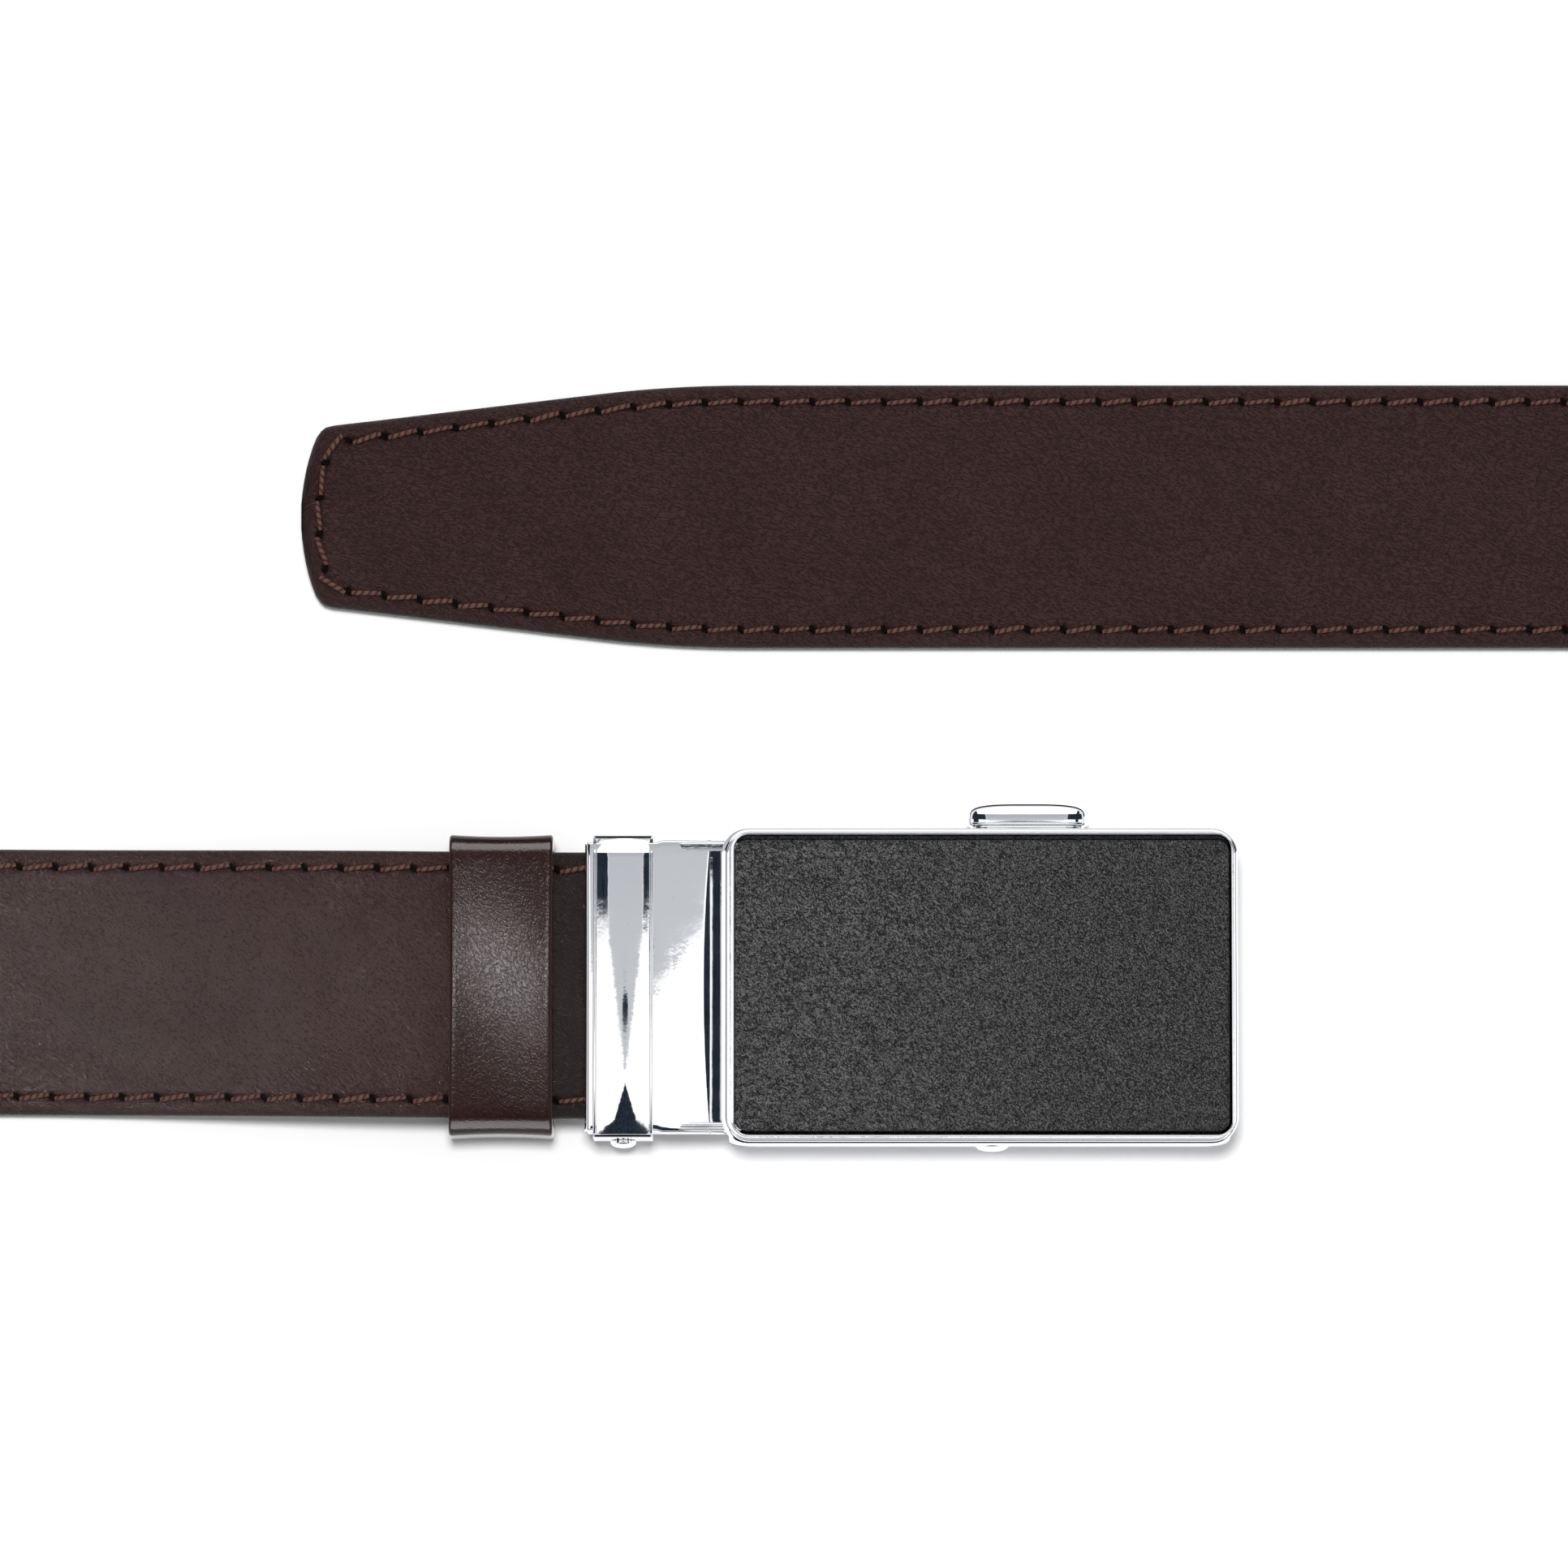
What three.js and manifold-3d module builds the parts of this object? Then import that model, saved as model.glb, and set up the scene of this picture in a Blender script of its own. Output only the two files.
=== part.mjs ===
// Ratchet belt: one leather strap with a hidden toothed track, a leather keeper loop, and a
// slide-through buckle with a strap clamp at one end and a sprung release lever on its upper edge.
// Millimetres, +Z up. The belt lies face up: the buckle row along -X from the buckle, the tail row
// beside it, and the stretch between them stands on its edge and goes the plain way round.
import * as THREE from "three";
import { mergeVertices } from "three/addons/utils/BufferGeometryUtils.js";
import Module from "manifold-3d";

const wasm = await Module();
wasm.setup();

// Shared clearance between pieces that touch, and between a pin and its hole
const clearance = 0.3;

// How far a cutting shape reaches past the face that it cuts
const cutOver = 1;

// Strap
const strapLength = 1250;
const strapWidth = 35;
const strapThickness = 3.5;
const strapEdgeRadius = 0.8;

// Tail tip: a shallow end arc, then a taper up to the full width
const tipWidth = 23.4;
const tipEndRadius = 30;
const tipTaper = 49.4;
const tipCornerBlend = 2.6;
const tipShoulderBlend = 1.2;

// How the belt lies, measured from the middle of the buckle
const tailTipX = -90;
const tailRowY = 63;
const backRunY = 165;
const flatLeftX = -134;
const flatRightX = 83;
const twistLength = 110;
const buckleRowDrift = 0.9;
const liftHold = 3;
const liftRun = 52;

// Toothed track in the back of the tail
const trackStart = 90;
const trackWidth = 16;
const trackBase = 0.8;
const toothPitch = 6.35;
const toothCount = 38;
const toothHeight = 0.7;
const toothTipDepth = 0.1;
const toothDrop = 0.4;

// Keeper loop
const keeperLength = 13.7;
const keeperWall = 1.6;
const keeperGap = 4.2;
const keeperSidePlay = 0.6;
const keeperCornerRadius = 2.4;
const tailPlay = 0.8;

// Buckle face, tray and side skirts
const faceLength = 68;
const faceWidth = 41.6;
const faceCornerRadius = 3.5;
const rimLeft = 1.5;
const rimRight = 0.9;
const rimSide = 1.05;
const rimHeight = 1.6;
const rimBevel = 0.4;
const trayPlate = 1;
const pocketCornerRadius = 1.9;
const skirtInset = 0.6;
const skirtWall = 1.7;
const skirtEndInset = 1;
const skirtCornerRadius = 2.5;
const passagePlay = 0.7;
const insertThickness = 1;
const insertBevel = 0.25;

// Neck with the strap channel, and the clamp over it
const neckLength = 18;
const neckPlate = 0.9;
const neckWall = 1.2;
const neckSidePlay = 0.4;
const neckOverlap = 3;
const strapEndGap = 1.5;
const lipLength = 1.1;
const coverLength = 7.9;
const coverPlate = 1;
const earThickness = 0.6;
const earBelowPin = 1.7;
const coverCornerRadius = 0.8;
const jawPlate = 1.3;
const jawLength = 7;
const jawToothDepth = 0.5;
const jawTeeth = 4;
const clampPinRadius = 0.8;
const clampHeadRadius = 1.55;
const clampHeadHeight = 0.7;

// Release lever: knob, pin and pawl
const leverPinX = 1.75;
const leverPinRadius = 1;
const leverHeadRadius = 2.2;
const leverHeadHeight = 0.9;
const knobLength = 16.2;
const knobHeight = 4.6;
const knobDepth = 3.7;
const knobStandOff = 1;
const knobHeel = 3.35;
const knobFloorGap = 0.5;
const knobBossRadius = 1.9;
const knobBevel = 0.6;
const knobSocketDepth = 2.2;
const pawlHubRadius = 2.2;
const pawlHubPlay = 0.2;
const pawlWidth = 14;
const pawlReach = 9.2;
const pawlArm = 1.6;
const pawlBite = 1.1;

// How finely curves are cut into facets
const turnStep = 10;
const twistStep = 4.6;
const roundSteps = 14;
const cornerSteps = 5;
const acrossSteps = 4;
const trackAcrossSteps = 3;
const slopeStep = 0.5;
const liftSteps = 8;

const leather = new THREE.MeshStandardMaterial({ color: 0x3c2a28, roughness: 0.55, metalness: 0 });
const keeperLeather = new THREE.MeshStandardMaterial({ color: 0x4a2620, roughness: 0.35, metalness: 0 });
const insertLeather = new THREE.MeshStandardMaterial({ color: 0x2e2e2f, roughness: 0.6, metalness: 0 });
const polished = new THREE.MeshStandardMaterial({ color: 0xc9ccd1, roughness: 0.12, metalness: 1 });
const steel = new THREE.MeshStandardMaterial({ color: 0x9a9da2, roughness: 0.4, metalness: 1 });
const nylon = new THREE.MeshStandardMaterial({ color: 0x1c1c1e, roughness: 0.5, metalness: 0 });

// Heights that stack up from the floor
const strapLift = keeperWall + strapThickness + tailPlay;
const strapTopZ = strapLift + strapThickness;
const keeperTopZ = strapTopZ + clearance + keeperWall;
const neckUnderZ = strapTopZ + clearance;
const neckTopZ = neckUnderZ + neckPlate;
const coverUnderZ = neckTopZ + clearance;
const coverTopZ = coverUnderZ + coverPlate;
const jawTopZ = strapLift - clearance;
const clampPinZ = jawTopZ - jawPlate / 2;
const leverPinZ = knobFloorGap + knobHeight / 2;
const passageFloorZ = leverPinZ + pawlHubRadius + pawlHubPlay;
const trayUnderZ = passageFloorZ + strapThickness + passagePlay;
const trayTopZ = trayUnderZ + trayPlate;
const insertUnderZ = trayTopZ + clearance;
const rimTopZ = trayTopZ + rimHeight;

// Places along and across the buckle
const faceEndX = faceLength / 2;
const strapEndX = -faceEndX - strapEndGap;
const neckEndX = -faceEndX - neckLength;
const coverStartX = neckEndX + lipLength;
const clampPinX = coverStartX + coverLength / 2;
const keeperRightX = neckEndX - keeperGap;
const keeperLeftX = keeperRightX - keeperLength;
const neckInnerY = strapWidth / 2 + neckSidePlay;
const neckOuterY = neckInnerY + neckWall;
const earInnerY = neckOuterY + clearance;
const earOuterY = earInnerY + earThickness;
const skirtOuterY = faceWidth / 2 - skirtInset;
const skirtInnerY = skirtOuterY - skirtWall;

// The belt's route in plan
const leftRadius = (backRunY - buckleRowDrift) / 2;
const rightRadius = (backRunY - tailRowY) / 2;
const endRuns = strapEndX - tailTipX;
const turns = Math.PI * (leftRadius + rightRadius);
const turnSpan = (strapLength - turns - endRuns) / 2;
const turnReach = (turnSpan - (flatRightX - flatLeftX)) / 2;
const leftTurnX = flatLeftX - turnReach;
const rightTurnX = flatRightX + turnReach;

const route = new THREE.Path();
route.moveTo(strapEndX, buckleRowDrift);
route.lineTo(leftTurnX, buckleRowDrift);
route.absarc(leftTurnX, buckleRowDrift + leftRadius, leftRadius, -Math.PI / 2, Math.PI / 2, true);
route.lineTo(rightTurnX, backRunY);
route.absarc(rightTurnX, tailRowY + rightRadius, rightRadius, Math.PI / 2, -Math.PI / 2, true);
route.lineTo(tailTipX, tailRowY);

// Distances along the strap, from its clamped end
const liftStart = strapEndX - keeperLeftX + liftHold;
const liftEnd = liftStart + liftRun;
const driftStart = strapEndX - neckEndX;
const leftTwist = strapEndX - flatLeftX;
const leftTurn = strapEndX - leftTurnX;
const leftTurnEnd = leftTurn + Math.PI * leftRadius;
const rightTurn = leftTurnEnd + rightTurnX - leftTurnX;
const rightTurnEnd = rightTurn + Math.PI * rightRadius;
const rightTwistEnd = rightTurnEnd + rightTurnX - flatRightX;
const rightTwist = rightTwistEnd - twistLength;

// 0 on the flat rows and a quarter turn where the strap stands on its edge
function rollAt(s) {
  const up = THREE.MathUtils.smoothstep(s, leftTwist, leftTwist + twistLength);
  const down = THREE.MathUtils.smoothstep(s, rightTwist, rightTwistEnd);
  return (Math.PI / 2) * (up - down);
}

function middleAt(s) {
  const plan = route.getPoint(Math.min(s / strapLength, 1));
  const lift = strapLift * (1 - THREE.MathUtils.smoothstep(s, liftStart, liftEnd));
  const drift = buckleRowDrift * (1 - THREE.MathUtils.smoothstep(s, driftStart, leftTwist));
  const roll = rollAt(s);
  const height = (strapWidth / 2) * Math.sin(roll) + (strapThickness / 2) * Math.cos(roll);
  return new THREE.Vector3(plan.x, plan.y - drift, lift + height);
}

// Middle of the strap, its direction across and its grain-face normal, at a distance along it
function frameAt(s) {
  const from = middleAt(Math.max(s - slopeStep, 0));
  const to = middleAt(Math.min(s + slopeStep, strapLength));
  const along = to.sub(from).normalize();
  const left = new THREE.Vector3(0, 0, 1).cross(along).normalize();
  const up = along.clone().cross(left);
  const roll = rollAt(s);
  const normal = up.clone().multiplyScalar(Math.cos(roll)).addScaledVector(left, Math.sin(roll));
  const across = left.multiplyScalar(Math.cos(roll)).addScaledVector(up, -Math.sin(roll));
  return { middle: middleAt(s), across, normal };
}

function smoothMin(a, b, blend) {
  const mix = THREE.MathUtils.clamp(0.5 + (b - a) / (2 * blend), 0, 1);
  return THREE.MathUtils.lerp(b, a, mix) - blend * mix * (1 - mix);
}

// Half the strap's width at a distance from the tip
function halfWidthAt(fromTip) {
  const inArc = Math.min(fromTip, tipEndRadius);
  const end = Math.sqrt(tipEndRadius ** 2 - (tipEndRadius - inArc) ** 2);
  const taper = tipWidth / 2 + ((strapWidth - tipWidth) / 2) * (fromTip / tipTaper);
  const side = smoothMin(taper, strapWidth / 2, tipShoulderBlend);
  return smoothMin(end, side, tipCornerBlend);
}

function evenly(from, to, step) {
  const count = Math.max(1, Math.round((to - from) / step));
  return Array.from({ length: count }, (_, i) => from + ((to - from) * i) / count);
}

// Closed body through rings of points that all have the same count
function skin(rings) {
  const size = rings[0].length;
  const positions = rings.flat().flatMap((p) => [p.x, p.y, p.z]);
  const index = [];
  for (let i = 0; i + 1 < rings.length; i += 1) {
    for (let j = 0; j < size; j += 1) {
      const a = i * size + j;
      const b = i * size + ((j + 1) % size);
      index.push(a, b + size, b, a, a + size, b + size);
    }
  }
  const last = (rings.length - 1) * size;
  for (let j = 1; j + 1 < size; j += 1) {
    index.push(0, j, j + 1);
    index.push(last, last + j + 1, last + j);
  }
  const geometry = new THREE.BufferGeometry();
  geometry.setAttribute("position", new THREE.Float32BufferAttribute(positions, 3));
  geometry.setIndex(index);
  return geometry;
}

// Ring round a flat band: its back from edge to edge, then its face back again
function bandRing(s, half, backDepth, faceDepth, edge, steps) {
  const { middle, across, normal } = frameAt(s);
  const flat = half - edge;
  const outline = [];
  for (let i = 0; i <= steps; i += 1) {
    outline.push([flat - (2 * flat * i) / steps, backDepth]);
  }
  if (edge > 0) {
    outline.push([-half, backDepth + edge], [-half, faceDepth - edge]);
  }
  for (let i = 0; i <= steps; i += 1) {
    outline.push([-flat + (2 * flat * i) / steps, faceDepth]);
  }
  if (edge > 0) {
    outline.push([half, faceDepth - edge], [half, backDepth + edge]);
  }
  return outline.map(([a, n]) => middle.clone().addScaledVector(across, a).addScaledVector(normal, n));
}

function asSolid(geometry) {
  const plain = geometry.clone();
  plain.deleteAttribute("normal");
  plain.deleteAttribute("uv");
  const merged = mergeVertices(plain);
  return new wasm.Manifold(new wasm.Mesh({
    numProp: 3,
    vertProperties: new Float32Array(merged.attributes.position.array),
    triVerts: new Uint32Array(merged.index.array),
  }));
}

function asGeometry(solid) {
  const mesh = solid.getMesh();
  const geometry = new THREE.BufferGeometry();
  geometry.setAttribute("position", new THREE.BufferAttribute(mesh.vertProperties, 3));
  geometry.setIndex(new THREE.BufferAttribute(mesh.triVerts, 1));
  return geometry;
}

function join(...geometries) {
  return geometries.map(asSolid).reduce((whole, piece) => whole.add(piece));
}

function cut(whole, ...geometries) {
  return geometries.map(asSolid).reduce((rest, piece) => rest.subtract(piece), whole);
}

function box(x0, x1, y0, y1, z0, z1) {
  const geometry = new THREE.BoxGeometry(x1 - x0, y1 - y0, z1 - z0);
  return geometry.translate((x0 + x1) / 2, (y0 + y1) / 2, (z0 + z1) / 2);
}

function roundedRect(x0, x1, y0, y1, radius) {
  const shape = new THREE.Shape();
  shape.moveTo(x0 + radius, y0);
  shape.lineTo(x1 - radius, y0);
  shape.absarc(x1 - radius, y0 + radius, radius, -Math.PI / 2, 0);
  shape.lineTo(x1, y1 - radius);
  shape.absarc(x1 - radius, y1 - radius, radius, 0, Math.PI / 2);
  shape.lineTo(x0 + radius, y1);
  shape.absarc(x0 + radius, y1 - radius, radius, Math.PI / 2, Math.PI);
  shape.lineTo(x0, y0 + radius);
  shape.absarc(x0 + radius, y0 + radius, radius, Math.PI, 1.5 * Math.PI);
  return shape;
}

// Extrusion of a shape between two levels of its own third axis, with its edges bevelled
function slab(shape, from, to, bevel = 0) {
  const geometry = new THREE.ExtrudeGeometry(shape, {
    depth: to - from - 2 * bevel,
    bevelEnabled: bevel > 0,
    bevelThickness: bevel,
    bevelSize: bevel,
    bevelOffset: -bevel,
    bevelSegments: 2,
    curveSegments: cornerSteps,
  });
  return geometry.translate(0, 0, from + bevel);
}

const alongX = new THREE.Matrix4().makeBasis(
  new THREE.Vector3(0, 1, 0), new THREE.Vector3(0, 0, 1), new THREE.Vector3(1, 0, 0));
const alongY = new THREE.Matrix4().makeBasis(
  new THREE.Vector3(1, 0, 0), new THREE.Vector3(0, 0, 1), new THREE.Vector3(0, -1, 0));

// A shape drawn in Y and Z, extruded along X
function slabX(shape, x0, x1, bevel = 0) {
  return slab(shape, x0, x1, bevel).applyMatrix4(alongX);
}

// A shape drawn in X and Z, extruded along Y
function slabY(shape, y0, y1, bevel = 0) {
  return slab(shape, -y1, -y0, bevel).applyMatrix4(alongY);
}

function rodY(x, z, radius, y0, y1) {
  const geometry = new THREE.CylinderGeometry(radius, radius, y1 - y0, roundSteps);
  return geometry.translate(x, (y0 + y1) / 2, z);
}

// Pin along +Y from its inner end, with a domed head outside the wall that carries it
function domedPin(radius, innerY, headY, headRadius, headHeight) {
  const profile = [new THREE.Vector2(0, innerY), new THREE.Vector2(radius, innerY)];
  profile.push(new THREE.Vector2(radius, headY));
  const domeSteps = 3;
  for (let i = 0; i <= domeSteps; i += 1) {
    const angle = ((Math.PI / 2) * i) / domeSteps;
    const y = headY + headHeight * (0.3 + 0.7 * Math.sin(angle));
    profile.push(new THREE.Vector2(i === domeSteps ? 0 : headRadius * Math.cos(angle), y));
  }
  profile.splice(3, 0, new THREE.Vector2(headRadius, headY));
  return new THREE.LatheGeometry(profile, roundSteps);
}

function piece(name, geometry, material) {
  const mesh = new THREE.Mesh(geometry, material);
  mesh.name = name;
  return mesh;
}

// Strap, with the pocket for the track in its back
function trackStops() {
  return Array.from({ length: toothCount + 1 }, (_, i) => strapLength - trackStart - i * toothPitch);
}

function strapStops() {
  const stops = [0, driftStart, ...evenly(liftStart, liftEnd, liftRun / liftSteps)];
  stops.push(liftEnd, ...evenly(leftTwist, leftTwist + twistLength, twistStep));
  const leftStep = (leftRadius * Math.PI * turnStep) / 180;
  stops.push(...evenly(leftTwist + twistLength, leftTurnEnd, leftStep));
  stops.push(...evenly(leftTurnEnd, rightTurn, (rightTurn - leftTurnEnd) / 2));
  const rightStep = (rightRadius * Math.PI * turnStep) / 180;
  stops.push(...evenly(rightTurn, rightTwist, rightStep));
  stops.push(...evenly(rightTwist, rightTwistEnd, twistStep), rightTwistEnd);
  const taperStops = [1.15, 0.98, 0.9, 0.6, 0.3, 0.15].map((share) => share * tipTaper);
  const endAngles = [26, 22, 18.5, 15, 11, 7, 3];
  const arcStops = endAngles.map((a) => tipEndRadius * (1 - Math.cos((a * Math.PI) / 180)));
  stops.push(...[...taperStops, ...arcStops].map((fromTip) => strapLength - fromTip));
  return stops.sort((a, b) => a - b);
}

function makeStrap() {
  const depth = strapThickness / 2;
  const rings = strapStops().map((s) => {
    const half = halfWidthAt(strapLength - s);
    const edge = Math.min(strapEdgeRadius, half / 2);
    return bandRing(s, half, -depth, depth, edge, acrossSteps);
  });
  const pocketHalf = trackWidth / 2 + clearance;
  const pocketTop = -depth + toothTipDepth + toothHeight + trackBase + clearance;
  const stops = trackStops();
  stops[0] += clearance;
  stops[toothCount] -= clearance;
  const pocket = stops.reverse().map((s) => {
    return bandRing(s, pocketHalf, -depth - cutOver, pocketTop, 0, trackAcrossSteps);
  });
  return asGeometry(cut(asSolid(skin(rings)), skin(pocket)));
}

// Track: each tooth rises away from the tip and drops off square, so the pawl only lets it in
function makeTrack() {
  const backOfStrap = -strapThickness / 2;
  const rootDepth = backOfStrap + toothTipDepth + toothHeight;
  const faceDepth = rootDepth + trackBase;
  const tipDepth = backOfStrap + toothTipDepth;
  const half = trackWidth / 2;
  const rings = [];
  trackStops().forEach((s, i) => {
    if (i > 0) {
      rings.push(bandRing(s + toothDrop, half, tipDepth, faceDepth, 0, trackAcrossSteps));
    }
    rings.push(bandRing(s, half, rootDepth, faceDepth, 0, trackAcrossSteps));
  });
  return skin(rings.reverse());
}

function makeKeeper() {
  const outerY = strapWidth / 2 + keeperSidePlay + keeperWall;
  const loop = roundedRect(-outerY, outerY, 0, keeperTopZ, keeperCornerRadius);
  const innerY = outerY - keeperWall;
  const innerRadius = keeperCornerRadius - keeperWall;
  loop.holes.push(roundedRect(-innerY, innerY, keeperWall, keeperTopZ - keeperWall, innerRadius));
  return slabX(loop, keeperLeftX, keeperRightX);
}

function makeBody() {
  const faceY = faceWidth / 2;
  const face = roundedRect(-faceEndX, faceEndX, -faceY, faceY, faceCornerRadius);
  const pocketY = faceY - rimSide;
  const pocketX0 = -faceEndX + rimLeft;
  const pocketX1 = faceEndX - rimRight;
  const pocket = roundedRect(pocketX0, pocketX1, -pocketY, pocketY, pocketCornerRadius);
  const skirtX = faceEndX - skirtEndInset;
  const skirt = roundedRect(-skirtX, skirtX, 0, trayTopZ, skirtCornerRadius);
  const skirtTop = box(-skirtX, skirtX, skirtInnerY, skirtOuterY, trayUnderZ - skirtCornerRadius, trayTopZ);
  const joinX = -faceEndX + neckOverlap;
  const wallFootZ = clampPinZ - earBelowPin;
  const whole = join(
    slab(face, trayUnderZ, rimTopZ, rimBevel),
    slabY(skirt, skirtInnerY, skirtOuterY),
    slabY(skirt, -skirtOuterY, -skirtInnerY),
    skirtTop,
    skirtTop.clone().translate(0, -skirtInnerY - skirtOuterY, 0),
    box(neckEndX, joinX, -neckOuterY, neckOuterY, neckUnderZ, neckTopZ),
    box(neckEndX, joinX, neckInnerY, neckOuterY, wallFootZ, neckTopZ),
    box(neckEndX, joinX, -neckOuterY, -neckInnerY, wallFootZ, neckTopZ),
  );
  return asGeometry(cut(
    whole,
    slab(pocket, trayTopZ, rimTopZ + cutOver),
    rodY(leverPinX, leverPinZ, leverPinRadius + clearance, -faceWidth, faceWidth),
    rodY(clampPinX, clampPinZ, clampPinRadius + clearance, -faceWidth, faceWidth),
  ));
}

function makeInsert() {
  const halfY = faceWidth / 2 - rimSide - clearance;
  const x0 = -faceEndX + rimLeft + clearance;
  const x1 = faceEndX - rimRight - clearance;
  const outline = roundedRect(x0, x1, -halfY, halfY, pocketCornerRadius - clearance);
  return slab(outline, insertUnderZ, insertUnderZ + insertThickness, insertBevel);
}

// Cover: a bar over the neck with an ear down each side
function makeCover() {
  const footZ = clampPinZ - earBelowPin;
  const radius = coverCornerRadius;
  const bar = new THREE.Shape();
  bar.moveTo(-earOuterY, footZ);
  bar.lineTo(-earInnerY, footZ);
  bar.lineTo(-earInnerY, coverUnderZ);
  bar.lineTo(earInnerY, coverUnderZ);
  bar.lineTo(earInnerY, footZ);
  bar.lineTo(earOuterY, footZ);
  bar.lineTo(earOuterY, coverTopZ - radius);
  bar.absarc(earOuterY - radius, coverTopZ - radius, radius, 0, Math.PI / 2);
  bar.lineTo(-earOuterY + radius, coverTopZ);
  bar.absarc(-earOuterY + radius, coverTopZ - radius, radius, Math.PI / 2, Math.PI);
  const whole = asSolid(slabX(bar, coverStartX, coverStartX + coverLength));
  const hole = rodY(clampPinX, clampPinZ, clampPinRadius + clearance, -faceWidth, faceWidth);
  return asGeometry(cut(whole, hole));
}

// Jaw: a toothed plate under the strap, between the inner ends of the clamp's pins
function makeJaw() {
  const x0 = clampPinX - jawLength / 2;
  const pitch = jawLength / jawTeeth;
  const shape = new THREE.Shape();
  shape.moveTo(x0, jawTopZ - jawPlate);
  shape.lineTo(x0 + jawLength, jawTopZ - jawPlate);
  for (let i = jawTeeth; i > 0; i -= 1) {
    shape.lineTo(x0 + pitch * i, jawTopZ);
    shape.lineTo(x0 + pitch * (i - 1), jawTopZ - jawToothDepth);
  }
  const halfY = neckInnerY - clearance;
  return slabY(shape, -halfY, halfY);
}

// Lever pieces are drawn round their own pin, which is the hinge
function makeKnob() {
  const outline = roundedRect(
    -knobHeel, knobLength - knobHeel, -knobHeight / 2, knobHeight / 2, knobHeight / 2.1);
  const standY = skirtOuterY + knobStandOff;
  const bossY = skirtOuterY + clearance;
  const whole = join(
    slabY(outline, standY, standY + knobDepth, knobBevel),
    rodY(0, 0, knobBossRadius, bossY, standY + knobDepth / 2),
  );
  const socket = rodY(0, 0, leverPinRadius + clearance, 0, bossY + knobSocketDepth + clearance);
  return asGeometry(cut(whole, socket));
}

function makeLeverPin() {
  const headY = skirtOuterY + clearance;
  const endY = -(skirtOuterY + clearance + knobSocketDepth);
  return domedPin(leverPinRadius, endY, headY, leverHeadRadius, leverHeadHeight);
}

function makePawl() {
  const tipZ = passageFloorZ + pawlBite - leverPinZ;
  const arm = new THREE.Shape();
  arm.moveTo(0, -pawlArm / 2);
  arm.lineTo(0, pawlHubRadius);
  arm.lineTo(-pawlReach * 0.55, pawlHubRadius);
  arm.lineTo(-pawlReach, tipZ);
  arm.lineTo(-pawlReach, tipZ - pawlBite - pawlArm);
  arm.lineTo(-pawlReach * 0.5, -pawlArm / 2);
  const halfY = pawlWidth / 2;
  const whole = join(slabY(arm, -halfY, halfY), rodY(0, 0, pawlHubRadius, -halfY, halfY));
  return asGeometry(cut(whole, rodY(0, 0, leverPinRadius + clearance, -pawlWidth, pawlWidth)));
}

const strapGroup = new THREE.Group();
strapGroup.add(piece("strap", makeStrap(), leather));
strapGroup.add(piece("ratchet_track", makeTrack(), nylon));
strapGroup.add(piece("keeper_loop", makeKeeper(), keeperLeather));

const buckleGroup = new THREE.Group();
buckleGroup.add(piece("buckle_body", makeBody(), polished));
buckleGroup.add(piece("face_insert", makeInsert(), insertLeather));

const clampGroup = new THREE.Group();
clampGroup.add(piece("clamp_cover", makeCover(), polished));
clampGroup.add(piece("clamp_jaw", makeJaw(), steel));
for (const [name, side] of [["clamp_pin_upper", 1], ["clamp_pin_lower", -1]]) {
  const headY = earOuterY + clearance;
  const pin = piece(
    name, domedPin(clampPinRadius, neckInnerY, headY, clampHeadRadius, clampHeadHeight), polished);
  pin.position.set(clampPinX, 0, clampPinZ);
  pin.rotation.z = side > 0 ? 0 : Math.PI;
  clampGroup.add(pin);
}

const leverGroup = new THREE.Group();
leverGroup.position.set(leverPinX, 0, leverPinZ);
leverGroup.add(piece("release_knob", makeKnob(), polished));
const leverPin = piece("lever_pin", makeLeverPin(), polished);
leverPin.rotation.z = Math.PI;
leverGroup.add(leverPin);
leverGroup.add(piece("pawl", makePawl(), steel));

// The origin is at the middle of the belt's footprint, on the floor
const belt = new THREE.Group();
belt.add(strapGroup, buckleGroup, clampGroup, leverGroup);
const extent = new THREE.Box3().setFromObject(belt);
const centre = extent.getCenter(new THREE.Vector3());
belt.position.set(-centre.x, -centre.y, -extent.min.z);

export default belt;
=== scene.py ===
import math

import bmesh
import bpy
import numpy as np
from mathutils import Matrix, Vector


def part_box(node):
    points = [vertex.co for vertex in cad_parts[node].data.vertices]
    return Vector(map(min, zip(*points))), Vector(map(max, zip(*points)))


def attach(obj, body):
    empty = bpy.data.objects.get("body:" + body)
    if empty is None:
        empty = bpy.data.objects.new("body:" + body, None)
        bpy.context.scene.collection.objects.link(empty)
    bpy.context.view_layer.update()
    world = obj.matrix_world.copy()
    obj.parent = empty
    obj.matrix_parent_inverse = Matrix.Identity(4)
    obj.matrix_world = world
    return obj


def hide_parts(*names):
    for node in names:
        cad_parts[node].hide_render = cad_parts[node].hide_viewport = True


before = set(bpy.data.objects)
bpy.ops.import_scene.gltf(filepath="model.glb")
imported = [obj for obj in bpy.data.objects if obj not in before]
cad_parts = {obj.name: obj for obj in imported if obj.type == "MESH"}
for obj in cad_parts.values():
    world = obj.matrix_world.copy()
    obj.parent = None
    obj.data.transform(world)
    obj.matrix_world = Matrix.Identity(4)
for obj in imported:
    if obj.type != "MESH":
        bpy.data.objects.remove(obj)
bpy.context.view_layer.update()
print("frame loaded")

mm = 0.001
bodyLow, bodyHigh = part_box("buckle_body")
insertLow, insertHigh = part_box("face_insert")
keeperLow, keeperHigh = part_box("keeper_loop")
coverLow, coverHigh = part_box("clamp_cover")
knobLow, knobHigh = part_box("release_knob")
lowerPinLow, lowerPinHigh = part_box("clamp_pin_lower")
upperPinLow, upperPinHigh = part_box("clamp_pin_upper")
leverPinLow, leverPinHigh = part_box("lever_pin")

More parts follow.
